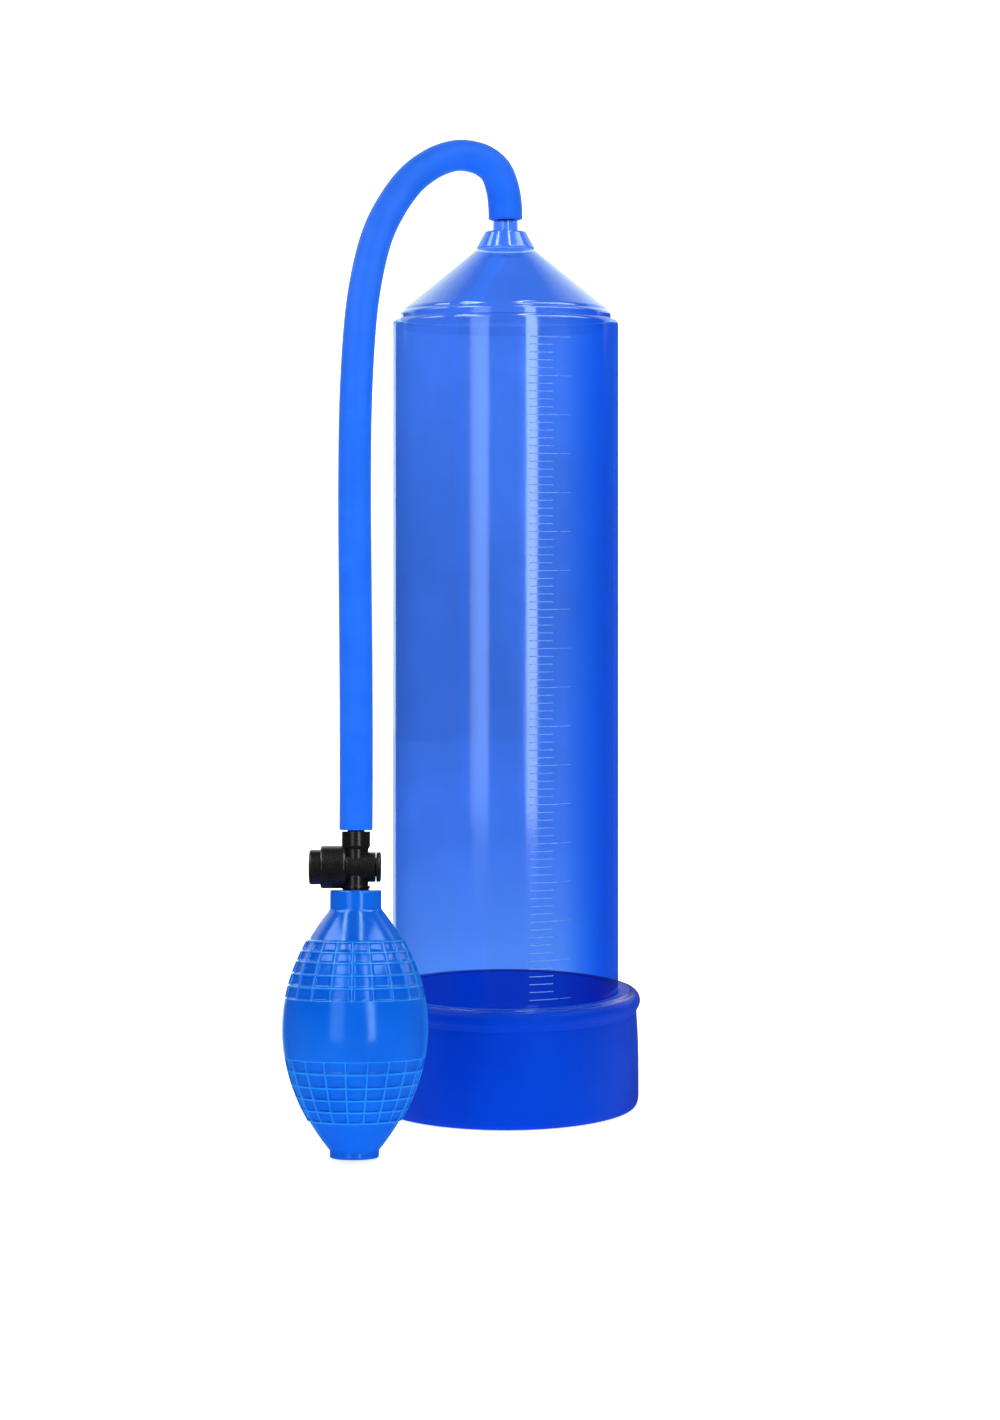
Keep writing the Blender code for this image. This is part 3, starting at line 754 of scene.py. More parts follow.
BLUE_TINTS = {
    "upper": (0.203, 0.388, 0.845),
    "foot": (0.275, 0.475, 0.845),
    # Painted shade: the deeper tint for the cylinder's right side.
    "right": (0.03, 0.255, 0.79),
    "slanted": (0.04, 0.31, 0.86),
}
FAINT_TINTS = {
    "upper": (0.98, 0.985, 1.0),
    "foot": (0.98, 0.985, 1.0),
    "right": (0.98, 0.985, 1.0),
    "slanted": (0.95, 0.97, 1.0),
}
SLEEVE_BLUES = [(0.0, 0.040, 0.53), (0.0, 0.050, 0.60)]
# Painted light: lighter blues for the inside of the sleeve, which would otherwise lie in shade.
PAINTED_LIGHT_BLUES = [(0.0, 0.30, 0.97), (0.0, 0.36, 1.0)]
CLEAR_BLUE = clear_plastic("clear_blue_plastic", BLUE_TINTS, face_on=0.055, at_rim=0.5)
CLEAR_HEAD = clear_plastic("clear_blue_head", BLUE_TINTS, face_on=0.055, at_rim=0.75)
CLEAR_INSIDE = clear_plastic("clear_blue_inside", FAINT_TINTS, face_on=0.025, at_rim=0.05)
SCALE_PRINT = printed_scale()
DEEP_BLUE = deep_blue_silicone("deep_blue_silicone", *SLEEVE_BLUES)
POLISHED_BLUE = deep_blue_silicone("deep_blue_silicone_rim", *SLEEVE_BLUES, polish=0.18)
# Painted light: a lighter blue that glows, for the inside of the sleeve.
PAINTED_LIGHT_BLUE = deep_blue_silicone("deep_blue_silicone_painted_light_inside", *PAINTED_LIGHT_BLUES, glow=0.3)
HOSE_BLUE = hose_silicone()
BULB_BLUE = bulb_rubber("bulb_rubber", (0.001, 0.108, 0.66), (0.003, 0.132, 0.74))
# Painted highlight: a lighter blue for the bulb's ribs.
RIB_HIGHLIGHT_BLUE = bulb_rubber("bulb_rib_painted_highlight", (0.005, 0.20, 0.83), (0.012, 0.25, 0.88))
BLACK = black_plastic()
SEAL = seal_rubber()
STEEL = polished_steel()


def colour_inside(obj, inside):
    """The tint is counted once for each wall, so faces for which inside(r, z) holds have hardly any."""
    obj.data.materials.append(CLEAR_INSIDE)
    for face in obj.data.polygons:
        spot = face.center - CYLINDER_AXIS
        if inside(math.hypot(spot.x, spot.y), spot.z):
            face.material_index = 1


def finish_piece(obj, body, slot, *nodes):
    """The piece moves with a body, stands for CAD nodes and takes its finish from a slot."""
    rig.ride(obj, body)
    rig.slot(obj, slot)
    if nodes:
        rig.replaces(obj, *nodes)


# Hose


def smooth_route(points, count):
    """Points evenly spaced along a Catmull-Rom curve through the route's own points."""
    ends = [2 * points[0] - points[1], *points, 2 * points[-1] - points[-2]]
    steps = 16
    dense = []
    for a, b, c, d in zip(ends, ends[1:], ends[2:], ends[3:]):
        for i in range(steps):
            t = i / steps
            square = (2 * a - 5 * b + 4 * c - d) * t**2
            cube = (3 * b - a - 3 * c + d) * t**3
            dense.append(0.5 * (2 * b + (c - a) * t + square + cube))
    dense.append(points[-1])
    reach = np.cumsum([0.0] + [(b - a).length for a, b in zip(dense, dense[1:])])
    targets = np.linspace(0.0, reach[-1], count)
    table = np.array([tuple(p) for p in dense])
    even = np.stack([np.interp(targets, reach, table[:, k]) for k in range(3)], axis=1)
    return [Vector(p) for p in even], float(reach[-1])


def carried_frames(points):
    """Two directions across the path at each point, carried along it without twisting."""
    ways = [(b - a).normalized() for a, b in zip(points, points[1:])]
    tangents = [ways[0]] + [(a + b).normalized() for a, b in zip(ways, ways[1:])] + [ways[-1]]
    side = Vector((1.0, 0.0, 0.0))
    frames = []
    for tangent in tangents:
        side = (side - tangent * side.dot(tangent)).normalized()
        frames.append((side, tangent.cross(side)))
    return frames


def hose_outer(reach):
    """The outer radius this far from the nipple, over which the hose is stretched."""
    share = 1.0 - smooth_step(reach, 0.0, HOSE_FLARE_LENGTH)
    return HOSE_RADIUS + (HOSE_FLARE_RADIUS - HOSE_RADIUS) * share


def hose_inner(from_end):
    """The bore's radius this far from the nearer end, wider where a barb is pushed in."""
    return HOSE_SOCKET_RADIUS if from_end < HOSE_SOCKET_DEPTH else HOSE_BORE_RADIUS


def hose_rings(spacing):
    """Rings (point of the path, radius, step along it), out along the outside and back along the bore."""
    last = HOSE_POINTS - 1
    steps_in = {0: HOSE_RIM, last: -HOSE_RIM}
    rings = [(0, hose_outer(0.0) - HOSE_RIM, 0.0)]
    rings += [(i, hose_outer(i * spacing), steps_in.get(i, 0.0)) for i in range(HOSE_POINTS)]
    rings.append((last, hose_outer(last * spacing) - HOSE_RIM, 0.0))
    rings += [(i, hose_inner(min(i, last - i) * spacing), 0.0) for i in range(last, -1, -1)]
    return rings


def make_hose():
    """A hollow tube along its route, which bends between the cylinder's body and the bulb's."""
    route = [CYLINDER_AXIS + Vector(p) for p in HOSE_ROUTE]
    count = HOSE_POINTS
    steps = 40
    points, length = smooth_route(route, count)
    frames = carried_frames(points)
    rings = hose_rings(length / (count - 1))
    verts = []
    for i, radius, step_in in rings:
        side, up = frames[i]
        tangent = side.cross(up)
        for j in range(steps):
            angle = math.tau * j / steps
            out = side * math.cos(angle) + up * math.sin(angle)
            verts.append(points[i] + out * radius + tangent * step_in)
    mesh = bpy.data.meshes.new("hose_tube")
    mesh.from_pydata(verts, [], ring_faces(len(rings), steps, True))
    faced_out(mesh)
    hose = add_piece("hose_tube", mesh, HOSE_BLUE)
    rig.slot(hose, "hose_silicone")
    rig.replaces(hose, "hose")
    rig.blend(hose, "cylinder", "hand_bulb", start=points[int(0.09 * count)], end=points[int(0.36 * count)])
    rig.cord(
        hose, exit=points[0], length=length, diameter=2 * HOSE_RADIUS, far_end="object",
        stiffness="medium", lay="loose", path=points,
    )


# Cylinder


def make_tube():
    """The graduated tube, open at its foot, with a rounded shoulder at its top."""
    bend = 1.4 * MM
    foot = 0.4 * MM
    outline = [(TUBE_INNER, TUBE_TOP)]
    outline += arc((TUBE_RADIUS - bend, TUBE_TOP - bend), bend, 90, 0, 8)
    outline += arc((TUBE_RADIUS - foot, TUBE_FOOT + foot), foot, 0, -90, 4)
    outline += arc((TUBE_INNER + foot, TUBE_FOOT + foot), foot, 270, 180, 4)
    tube = turned("clear_cylinder", supported(outline, True), CLEAR_BLUE, CYLINDER_PLACE, steps=192)
    colour_inside(tube, lambda r, z: r < TUBE_INNER + WALL_SIDE)
    finish_piece(tube, "cylinder", "clear_blue_plastic", "cylinder_tube")


def make_head():
    """The conical head, with its ring, the groove above it and the skirt inside the cylinder."""
    slope = (CONE_TOP[1] - CONE_FOOT[1]) / (CONE_FOOT[0] - CONE_TOP[0])
    inner_top = HEAD_SKIRT_INNER - (FITTING_SHANK_FOOT - CONE_INNER_FOOT) / slope
    shoulder = TUBE_TOP - 0.1 * MM
    corners = [
        (FITTING_HOLE_RADIUS, CONE_TOP[1], 0.2),
        (*CONE_TOP, 0.6),
        (*CONE_FOOT, 0.5),
        (HEAD_RADIUS - 0.9 * MM, HEAD_RING_TOP + 0.35 * MM, 0.5),
        (HEAD_RADIUS, HEAD_RING_TOP - 0.2 * MM, 0.9),
        (HEAD_RADIUS, shoulder, 0.05),
        (HEAD_RADIUS, HEAD_SKIRT_FOOT, 0.4),
        (HEAD_SKIRT_INNER, HEAD_SKIRT_FOOT, 0.4),
        (HEAD_SKIRT_INNER, CONE_INNER_FOOT, 1.2),
        (inner_top, FITTING_SHANK_FOOT, 0.8),
        (FITTING_HOLE_RADIUS, FITTING_SHANK_FOOT, 0.2),
    ]
    head = turned("conical_head", rounded(corners), CLEAR_HEAD, CYLINDER_PLACE, steps=192)

    def inside(r, z):
        cone = CONE_FOOT[0] - max(0.0, z - CONE_FOOT[1]) / slope
        return z < shoulder or r < cone - WALL_SIDE

    colour_inside(head, inside)
    finish_piece(head, "cylinder", "clear_blue_plastic", "cylinder_cap")


def make_hose_nipple():
    """The fitting in the head: a shank, a steep collar and a barb for the hose, bored for the air."""
    shank = FITTING_HOLE_RADIUS - GAP
    collar_foot = CONE_TOP[1] + GAP
    corners = [(AIR_BORE_RADIUS, CONNECTOR_TOP, 0.1)] + barbs(CONNECTOR_TOP, NIPPLE_TOP, 3)
    corners += [
        (BARB_ROOT_RADIUS, NIPPLE_TOP, 0.1),
        (NIPPLE_RADIUS, NIPPLE_TOP, 0.3),
        (NIPPLE_RADIUS, COLLAR_TOP[1], 0.3),
        (*COLLAR_TOP, 0.5),
        (CONE_TOP[0], collar_foot, 0.5),
        (shank, collar_foot, 0.1),
        (shank, FITTING_SHANK_FOOT, 0.2),
        (AIR_BORE_RADIUS, FITTING_SHANK_FOOT, 0.2),
    ]
    nipple = turned("hose_nipple", rounded(corners, count=4), CLEAR_BLUE, CYLINDER_PLACE, steps=96)
    colour_inside(nipple, lambda r, z: r < 1.1 * AIR_BORE_RADIUS or z < collar_foot)
    finish_piece(nipple, "cylinder", "clear_blue_plastic", "hose_connector")


def line_on_tube(verts, faces, height, thickness, start, end):
    """One printed line round the front of the tube, between two angles right of the front."""
    radius = TUBE_RADIUS + PRINT_RAISE
    step = 1.2
    count = max(2, int(abs(end - start) / step) + 1)
    first = len(verts)
    for k in range(count):
        angle = math.radians(start + (end - start) * k / (count - 1))
        across = radius * math.sin(angle)
        depth = -radius * math.cos(angle)
        for z in (height - thickness / 2, height + thickness / 2):
            verts.append(CYLINDER_AXIS + Vector((across, depth, z)))
    for k in range(count - 1):
        a = first + 2 * k
        faces.append((a, a + 2, a + 3, a + 1))


def make_scale():
    """All the printed lines in one thin piece."""
    verts = []
    faces = []
    for i in range(SCALE_LINES):
        height = SCALE_FOOT + i * SCALE_STEP
        whole = i % LINES_PER_CENTIMETRE == 0
        line_on_tube(verts, faces, height, LINE_THICKNESS, LINE_START, LONG_LINE_END if whole else LINE_END)
        if whole:
            line_on_tube(verts, faces, height, FAINT_THICKNESS, *FAINT_LINE)
    mesh = bpy.data.meshes.new("scale_marks")
    mesh.from_pydata(verts, [], faces)
    scale = add_piece("scale_marks", mesh, SCALE_PRINT)
    thick = scale.modifiers.new("Thickness", "SOLIDIFY")
    thick.thickness = PRINT_DEPTH
    thick.offset = -1.0
    finish_piece(scale, "cylinder", "clear_blue_plastic")


# Sealing sleeve


def sleeve_side(count):
    """Down the sleeve's outer side, from the bead's rounding to the rounded foot."""
    centre = (SLEEVE_BEAD_RADIUS - SLEEVE_BEAD_ROUNDING, SLEEVE_BEAD_MIDDLE)
    side = arc(centre, SLEEVE_BEAD_ROUNDING, 58, -38, 16)
    top = SLEEVE_BEAD_MIDDLE - SLEEVE_BEAD_ROUNDING
    foot_rounding = 2.6 * MM
    for i in range(count + 1):
        t = i / count
        ease = 1.0 - (1.0 - t) ** 3
        radius = SLEEVE_NECK_RADIUS + (SLEEVE_RADIUS - SLEEVE_NECK_RADIUS) * ease
        side.append((radius, top + (foot_rounding - top) * t))
    fold = SLEEVE_RADIUS - SLEEVE_CONTACT_RADIUS
    for degrees in range(12, 91, 13):
        a = math.radians(degrees)
        side.append((SLEEVE_CONTACT_RADIUS + fold * math.cos(a), foot_rounding * (1.0 - math.sin(a))))
    return side


def finish_sleeve_faces(sleeve, inner, rim_radius, rim_foot):
    """Painted light inside the sleeve, in a lighter material that glows, and a more polished one on its rim."""
    sleeve.data.materials.append(PAINTED_LIGHT_BLUE)
    sleeve.data.materials.append(POLISHED_BLUE)
    floor = SLEEVE_FLOOR - 0.2 * MM
    wall = inner + 0.05 * MM
    for face in sleeve.data.polygons:
        spot = face.center - CYLINDER_AXIS
        radius = math.hypot(spot.x, spot.y)
        # Painted light: faces inside the sleeve take the lighter, glowing material.
        if spot.z > floor and radius < wall:
            face.material_index = 1
        elif spot.z > rim_foot and radius > rim_radius:
            face.material_index = 2


def make_sleeve():
    """The sleeve, with its rolled rim, and a folded-in floor with a round mouth."""
    inner = TUBE_RADIUS + GAP
    lip = 1.1 * MM
    edge = 0.45 * MM
    corner = 0.6 * MM
    rim_corner = (32.9 * MM, SLEEVE_TOP - corner)
    outline = arc((inner + edge, SLEEVE_TOP - edge), edge, 180, 90, 5)
    outline += arc(rim_corner, corner, 90, 36, 8)
    outline += sleeve_side(20)
    outline += arc((SLEEVE_MOUTH_RADIUS + lip, lip), lip, 270, 90, 10)
    outline += [(TUBE_RADIUS - 3.0 * MM, SLEEVE_FLOOR), (inner, SLEEVE_FLOOR)]
    sleeve = turned("moulded_sleeve", supported(outline, True), DEEP_BLUE, CYLINDER_PLACE, steps=192)
    finish_sleeve_faces(sleeve, inner, *rim_corner)
    finish_piece(sleeve, "sleeve", "deep_blue_silicone", "sealing_sleeve")


# Squeeze bulb


def bulb_radius(height, radius=BULB_RADIUS, reach=BULB_REACH):
    """The radius of the bulb's plain surface at a height; its inside has another radius and reach."""
    share = min(1.0, abs(height - BULB_MIDDLE) / reach)
    return radius * (1.0 - share * share) ** BULB_POWER


def bulb_offset(at_radius, radius=BULB_RADIUS, reach=BULB_REACH):
    """How far above or below its middle the bulb has this radius."""
    return reach * math.sqrt(1.0 - (at_radius / radius) ** (1.0 / BULB_POWER))


def rib_strength(distance):
    """1 on a rib's top, 0 beside it."""
    return 1.0 - smooth_step(abs(distance), RIB_TOP * GRIP_RIB, RIB_FOOT * GRIP_RIB)


def grip_relief(height, angle, radius):
    """How far the ribs and the belt between the two ribbed bands stand proud of the plain surface."""
    if BELT_FOOT <= height <= BELT_TOP:
        return GRIP_DEPTH
    across = max(rib_strength(height - rib) for rib in UPPER_RIBS + LOWER_RIBS)
    for ribs, twist in ((UPPER_RIBS, 0.0), (LOWER_RIBS, LOWER_TWIST)):
        if ribs[0] <= height <= ribs[-1]:
            cell = math.tau / GRIP_CELLS
            off = (angle - twist + cell / 2) % cell - cell / 2
            return GRIP_DEPTH * max(across, rib_strength(off * radius))
    return GRIP_DEPTH * across


def near_ribs(low, high, ribs, plain):
    """Heights from high down to low, close together at each rib."""
    closest = 0.04 * MM
    heights = set(np.linspace(low, high, plain).tolist())
    for rib in ribs:
        heights.update(rib + part * GRIP_RIB for part in RIB_PARTS)
    ordered = sorted(h for h in heights if low <= h <= high)
    kept = [ordered[0]]
    for h in ordered[1:]:
        if h - kept[-1] > closest:
            kept.append(h)
    return kept[::-1]


def bulb_angles():
    """Angles round the bulb, close together at each upright rib."""
    cell = math.tau / GRIP_CELLS
    band_radius = 0.85 * BULB_RADIUS
    rib = GRIP_RIB / band_radius
    offsets = [part * rib for part in RIB_PARTS] + [share * cell for share in (0.2, 0.35, 0.5, 0.65, 0.8)]
    front = -math.pi / 2
    return [front + cell * i + offset for i in range(GRIP_CELLS) for offset in offsets]


def bulb_rows():
    """The bulb's outline from its neck down and back up inside, and which of its rows carry ribs."""
    rim = 0.5 * MM
    top = BULB_MIDDLE + bulb_offset(NECK_RADIUS)
    foot = BULB_MIDDLE - bulb_offset(FLANGE_RADIUS)
    rows = [(NECK_BORE_RADIUS, NECK_TOP)]
    rows += arc((NECK_RADIUS - rim, NECK_TOP - rim), rim, 90, 0, 5)
    rows += [(NECK_RADIUS, z) for z in np.linspace(NECK_TOP - rim - STRAIGHT_END, top + 0.4 * MM, 6)]
    first = len(rows)
    rows += [(bulb_radius(z), z) for z in near_ribs(foot, top, UPPER_RIBS + LOWER_RIBS, 90)]
    last = len(rows)
    rows += [(FLANGE_RADIUS, z) for z in (foot - 0.3 * MM, rim + STRAIGHT_END)]
    rows += arc((FLANGE_RADIUS - rim, rim), rim, 0, -90, 5)
    rows += [(NECK_BORE_RADIUS, 0.0)]
    inner = bulb_offset(NECK_BORE_RADIUS, BULB_INNER_RADIUS, BULB_INNER_REACH)
    for z in np.linspace(BULB_MIDDLE - inner, BULB_MIDDLE + inner, 40):
        rows.append((bulb_radius(z, BULB_INNER_RADIUS, BULB_INNER_REACH), z))
    return rows, range(first, last)


def make_bulb():
    """The hollow bulb, with its ribs in a lighter blue, which is a painted highlight. The lower band is twisted a
    little to one side.
    """
    rows, ribbed = bulb_rows()
    angles = bulb_angles()
    verts = []
    relief = []
    for i, (radius, z) in enumerate(rows):
        turn = LOWER_TWIST * (1.0 - smooth_step(z, BELT_FOOT + 1.0 * MM, BELT_TOP - 1.0 * MM))
        for base in angles:
            angle = base + turn
            proud = grip_relief(z, angle + math.pi / 2, radius) if i in ribbed else 0.0
            r = radius + proud
            relief.append(0.0 if BELT_FOOT < z < BELT_TOP else proud)
            verts.append(BULB_PLACE @ Vector((r * math.cos(angle), r * math.sin(angle), z)))
    mesh = bpy.data.meshes.new("rubber_bulb")
    mesh.from_pydata(verts, [], ring_faces(len(rows), len(angles), True))
    bulb = add_piece("rubber_bulb", mesh, BULB_BLUE, sharp=70)
    mesh.materials.append(RIB_HIGHLIGHT_BLUE)
    # Painted highlight: faces mostly on the ribs take the lighter blue.
    mostly_proud = 2.8 * GRIP_DEPTH
    for face in mesh.polygons:
        if sum(relief[v] for v in face.vertices) > mostly_proud:
            face.material_index = 1
    finish_piece(bulb, "hand_bulb", "bulb_rubber", "squeeze_bulb")


# Release valve


def barrel_corners():
    """The small and the large barrel, along the valve's own Z, which points right."""
    return [
        (0.0, SMALL_BARREL_END, 0),
        (SMALL_BARREL_RADIUS, SMALL_BARREL_END, 0.06),
        (SMALL_BARREL_RADIUS, SEAT_WALL[1], 0.3),
        (BARREL_RADIUS, SEAT_WALL[1], 0.9),
        (BARREL_RADIUS, BARREL_MOUTH, 0.5),
        (0.0, BARREL_MOUTH, 0),
    ]


def stem_corners():
    """The barb and neck for the hose above the barrels, and below them a flange and the bulb's spigot."""
    collar_foot, collar_top = STEM_COLLAR
    flange = (NECK_TOP + GAP, NECK_TOP + 1.0 * MM)
    return [
        (0.0, STEM_TOP, 0),
        *barbs(STEM_TOP, collar_top, 3),
        (BARB_ROOT_RADIUS, collar_top, 0.1),
        (STEM_COLLAR_RADIUS, collar_top, 0.15),
        (STEM_COLLAR_RADIUS, collar_foot, 0.35),
        (STEM_RADIUS, collar_foot - 0.4 * MM, 0.3),
        (STEM_RADIUS, flange[1], 0.25),
        (STEM_COLLAR_RADIUS, flange[1], 0.3),
        (STEM_COLLAR_RADIUS, flange[0], 0.2),
        (SPIGOT_RADIUS, flange[0], 0.1),
        (SPIGOT_RADIUS, SPIGOT_FOOT, 0.3),
        (0.0, SPIGOT_FOOT, 0),
    ]


def barrel_bores(past):
    """The cap's chamber, the vent through its seat and the button's bore, cut past both ends."""
    return [
        (0.0, SMALL_BARREL_END + past),
        (CHAMBER_RADIUS, SMALL_BARREL_END + past),
        (CHAMBER_RADIUS, SEAT_WALL[1]),
        (VENT_RADIUS, SEAT_WALL[1]),
        (VENT_RADIUS, SEAT_WALL[0]),
        (BARREL_BORE_RADIUS, SEAT_WALL[0]),
        (BARREL_BORE_RADIUS, BARREL_MOUTH - past),
        (0.0, BARREL_MOUTH - past),
    ]


def stem_airway(past):
    """The airway down the stem, which widens into the inlet ball's chamber, cut past both ends."""
    chamber = 1.75 * MM
    seat_top = SPIGOT_FOOT + 7.5 * MM
    seat_foot = SPIGOT_FOOT + 3.5 * MM
    return [
        (0.0, STEM_TOP + past),
        (AIR_BORE_RADIUS, STEM_TOP + past),
        (AIR_BORE_RADIUS, seat_top),
        (chamber, seat_foot),
        (chamber, SPIGOT_FOOT - past),
        (0.0, SPIGOT_FOOT - past),
    ]


def make_valve():
    """The tee: two barrels across a stem, with its bores cut out."""
    past = 1.0 * MM
    barrels = rounded(barrel_corners(), ring=False)
    stem = rounded(stem_corners(), ring=False, count=4)
    body = turned("valve_housing", barrels, BLACK, VALVE_PLACE, steps=96, ring=False)
    tee = turned("valve_tee", stem, BLACK, BULB_PLACE, steps=96, ring=False)
    combined(body, tee, "UNION")
    across = turned("valve_bores", barrel_bores(past), BLACK, VALVE_PLACE, steps=90, ring=False)
    combined(body, across, "DIFFERENCE")
    along = turned("valve_airway", stem_airway(past), BLACK, BULB_PLACE, steps=60, ring=False)
    combined(body, along, "DIFFERENCE")
    finish_piece(body, "hand_bulb", "black_plastic", "valve_body")


def make_end_cap():
    """A plug whose face has a raised rim round a shallow dish."""
    face = SMALL_BARREL_END + GAP
    plug = CHAMBER_RADIUS - 0.15 * MM
    groove = (3.5 * MM, 4.3 * MM)
    groove_radius = 1.85 * MM
    plug_end = 3.0 * MM
    dish = 2.2 * MM
    dish_floor = END_CAP_END - 0.35 * MM
    corners = [
        (0.0, dish_floor, 0),
        (dish, dish_floor, 0.2),
        (dish + 0.3 * MM, END_CAP_END, 0.15),
        (SMALL_BARREL_RADIUS, END_CAP_END, 0.45),
        (SMALL_BARREL_RADIUS, face, 0.06),
        (plug, face, 0.1),
        (plug, groove[1], 0.05),
        (groove_radius, groove[1], 0.05),
        (groove_radius, groove[0], 0.05),
        (plug, groove[0], 0.05),
        (plug, plug_end, 0.1),
        (0.0, plug_end, 0),
    ]
    cap = turned("end_plug", rounded(corners, ring=False), BLACK, VALVE_PLACE, steps=96, ring=False)
    finish_piece(cap, "hand_bulb", "black_plastic", "valve_end_cap")


def make_button():
    """A push button with a dished face."""
    recess = -9.3 * MM
    socket_end = -10.2 * MM
    socket_radius = 0.95 * MM
    inner = BUTTON_RADIUS - 1.1 * MM
    dish = 1.2 * MM
    dish_floor = BUTTON_END + 0.3 * MM
    corners = [
        (0.0, socket_end, 0),
        (socket_radius, socket_end, 0.1),
        (socket_radius, recess, 0.1),
        (inner, recess, 0.2),
        (inner, BUTTON_INNER_END, 0.15),
        (BUTTON_RADIUS, BUTTON_INNER_END, 0.2),
        (BUTTON_RADIUS, BUTTON_END, 0.7),
        (inner, BUTTON_END, 0.3),
        (dish, dish_floor, 0.8),
        (0.0, dish_floor, 0),
    ]
    button = turned("push_button", rounded(corners, ring=False), BLACK, VALVE_PLACE, steps=96, ring=False)
    finish_piece(button, "button", "black_plastic", "release_button")


def make_spring():
    """The button's return spring, which shortens as the button goes in."""
    coil = 2.1 * MM
    wire = 0.22 * MM
    turns = 5
    per_turn = 28
    sides = 10
    start = -9.0 * MM + wire
    end = SEAT_WALL[0] - GAP - wire
    count = turns * per_turn + 1
    verts = []
    for i in range(count):
        share = i / (count - 1)
        angle = math.tau * i / per_turn
        out = Vector((math.cos(angle), math.sin(angle), 0.0))
        centre = out * coil + Vector((0.0, 0.0, start + (end - start) * share))
        for j in range(sides):
            around = math.tau * j / sides
            offset = out * math.cos(around) + Vector((0.0, 0.0, math.sin(around)))
            verts.append(VALVE_PLACE @ (centre + offset * wire))
    faces = ring_faces(count, sides, False)
    faces.append(tuple(range(sides)))
    faces.append(tuple(range((count - 1) * sides, count * sides)))
    mesh = bpy.data.meshes.new("return_spring")
    mesh.from_pydata(verts, [], faces)
    faced_out(mesh)
    spring = add_piece("return_spring", mesh, STEEL, sharp=60)
    finish_piece(spring, "hand_bulb", "steel", "button_spring")
    anchor = VALVE_CENTRE + Vector((end, 0.0, 0.0))
    travel = 2.2 * MM
    keep = 1.0 - travel / (end - start)
    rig.squash(spring, "release_button_press", axis=(1, 0, 0), anchor=anchor, keep=keep)


def paint_inner_parts():
    """The small parts inside keep their CAD shapes and get the finished materials."""
    looks = {
        "button_plunger": BLACK,
        "plunger_seal": SEAL,
        "end_cap_seal": SEAL,
        "inlet_ball": STEEL,
        "inlet_retainer": BLACK,
        "exhaust_fitting": BLACK,
        "exhaust_ball": STEEL,
        "exhaust_retainer": BLACK,
    }
    for name, material in looks.items():
        mesh = frame["nodes"][name].data
        mesh.materials.clear()
        mesh.materials.append(material)


# Studio


def add_card(name, verts, faces, glow, to_camera, to_gloss, to_diffuse=True, fades=None):
    """A white surface with a light of its own, seen by only some of the rays.

    With fades, a pair of heights, it is black and glows from nothing at the first to fully at the second.
    """
    mesh = bpy.data.meshes.new(name)
    mesh.from_pydata(verts, [], faces)
    look = Look(name)
    look.set(Roughness=1.0, Specular_IOR_Level=0.0)
    if fades:
        look.set(Base_Color=(0.0, 0.0, 0.0, 1.0), Emission_Color=(glow, glow, glow, 1.0))
        look.join(look.along("Z", *fades), "Emission Strength")
    else:
        look.set(Base_Color=(0.9, 0.9, 0.9, 1.0), Emission_Color=(1.0, 1.0, 1.0, 1.0), Emission_Strength=glow)
    card = add_piece(name, mesh, look.material)
    card.visible_camera = to_camera
    card.visible_transmission = to_camera
    card.visible_glossy = to_gloss
    card.visible_diffuse = to_diffuse
    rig.stage(card)


def make_sweep():
    """A white floor that curves up into a white wall; only the wall's upper part shows in reflections."""
    half = 2.0
    near = -3.0
    turn = 0.25
    split = 0.36
    top = 2.4
    below = -0.2 * MM
    wall_at = CYLINDER_AXIS.y + 1.1
    bend = wall_at - turn
    curve = np.linspace(0, math.pi / 2, 16)
    low = [(near, 0.0)] + [(bend + turn * math.sin(a), turn - turn * math.cos(a)) for a in curve]
    low.append((wall_at, split))
    high = [(wall_at, split), (wall_at, top)]
    parts = [
        ("studio_floor", low, 0.8, None),
        ("studio_wall", high, 1.5, (top, 0.7)),
    ]
    for name, profile, glow, fades in parts:
        verts = [(x, y, z + below) for y, z in profile for x in (-half, half)]
        faces = [(2 * i, 2 * i + 1, 2 * i + 3, 2 * i + 2) for i in range(len(profile) - 1)]
        add_card(name, verts, faces, glow, to_camera=True, to_gloss=bool(fades), fades=fades)


def make_reflector(name, start, end, low, high, glow):
    """An upright card between two points of the floor plan that shows in reflections only."""
    corners = [(*start, low), (*end, low), (*end, high), (*start, high)]
    verts = [CYLINDER_AXIS + Vector(corner) for corner in corners]
    add_card(name, verts, [(0, 1, 2, 3)], glow, to_camera=False, to_gloss=True, to_diffuse=False)


def make_reflectors():
    """A pale card behind on the left, and a bright one high on either side."""
    make_reflector("left_back_card", start=(-0.55, 0.95), end=(0.02, 0.95), low=-0.3, high=0.3, glow=1.1)
    make_reflector("left_high_card", start=(-0.45, -1.0), end=(-1.1, 0.2), low=0.7, high=1.4, glow=5.0)
    make_reflector("right_high_card", start=(0.45, -1.0), end=(1.1, 0.2), low=0.7, high=1.4, glow=5.0)


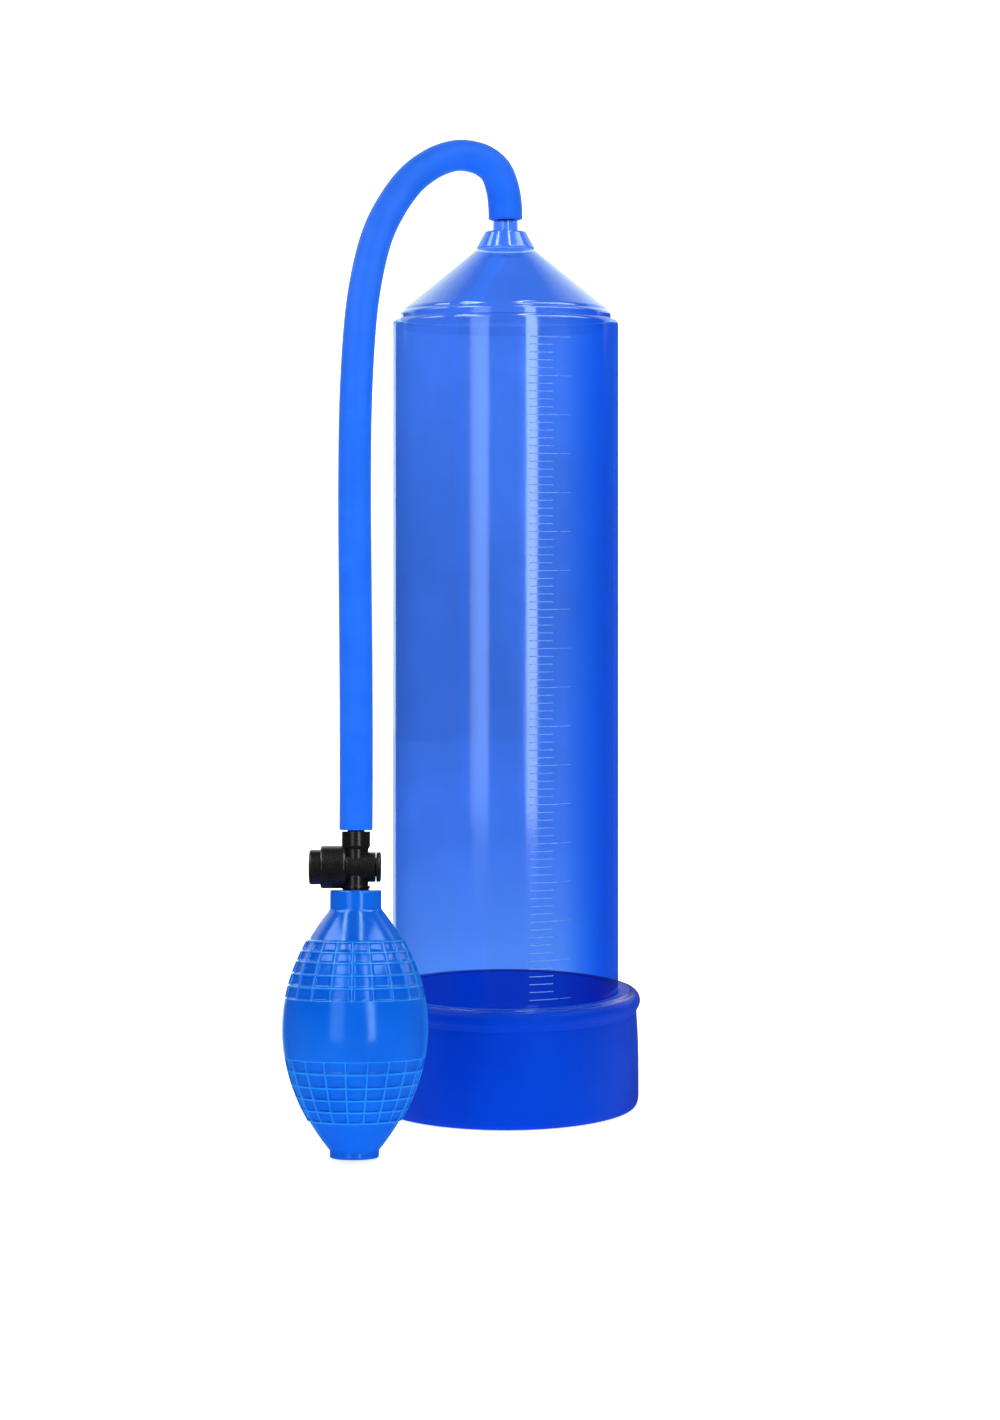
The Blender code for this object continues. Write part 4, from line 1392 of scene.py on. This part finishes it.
def make_world():
    """A dim white room that the camera sees as a bright backdrop."""
    world = bpy.data.worlds.new("studio")
    world.use_nodes = True
    nodes = world.node_tree.nodes
    nodes["Background"].inputs["Color"].default_value = (1.0, 1.0, 1.0, 1.0)
    strength = nodes.new("ShaderNodeMapRange")
    strength.inputs["To Min"].default_value = 0.06
    strength.inputs["To Max"].default_value = 1.1
    path = nodes.new("ShaderNodeLightPath")
    world.node_tree.links.new(path.outputs["Is Camera Ray"], strength.inputs["Value"])
    world.node_tree.links.new(strength.outputs["Result"], nodes["Background"].inputs["Strength"])
    bpy.context.scene.world = world


def add_area_light(name, width, length, radiance, place):
    """A rectangular light that faces down; its place is counted from the cylinder's axis at the floor."""
    data = bpy.data.lights.new(name, "AREA")
    data.shape = "RECTANGLE"
    data.size = width
    data.size_y = length
    data.energy = radiance * math.pi * width * length
    lamp = bpy.data.objects.new(name, data)
    lamp.location = CYLINDER_AXIS + place
    bpy.context.scene.collection.objects.link(lamp)
    return lamp


def make_strip(name, bearing, width, radiance):
    """A tall soft light at a bearing right of the front, facing the cylinder's axis."""
    height = 1.6
    middle = Vector((0.0, 0.0, 0.75))
    distance = 1.2
    angle = math.radians(bearing)
    away = Vector((math.sin(angle), -math.cos(angle), 0.0))
    lamp = add_area_light(name, width, height, radiance, away * distance + middle)
    target = CYLINDER_AXIS + middle
    lamp.rotation_euler = (target - lamp.location).to_track_quat("-Z", "Y").to_euler()


def make_ceiling_light(name, x, width, radiance):
    """A soft light overhead, running front to back, facing down."""
    length = 0.9
    y = -0.35
    height = 1.3
    add_area_light(name, width, length, radiance, Vector((x, y, height)))


def make_lights():
    """Two tall strips in front of the pump, left and right, and two lights overhead."""
    make_strip("left_strip", bearing=-26.0, width=0.40, radiance=2.1)
    make_strip("right_strip", bearing=26.0, width=0.24, radiance=6.2)
    make_ceiling_light("left_ceiling", x=-0.55, width=0.16, radiance=11.0)
    make_ceiling_light("right_ceiling", x=0.26, width=0.12, radiance=12.0)


make_camera()
make_hose()
make_tube()
make_head()
make_hose_nipple()
make_scale()
make_sleeve()
make_bulb()
make_valve()
make_end_cap()
make_button()
make_spring()
paint_inner_parts()
make_sweep()
make_reflectors()
make_world()
make_lights()
bpy.context.scene.view_settings.view_transform = "Standard"

sizes = {"cad": [list(corner) for corner in cad_box], "visual": [list(corner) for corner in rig.bounds()]}
with open("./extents.json", "w") as file:
    json.dump(sizes, file, indent=1)
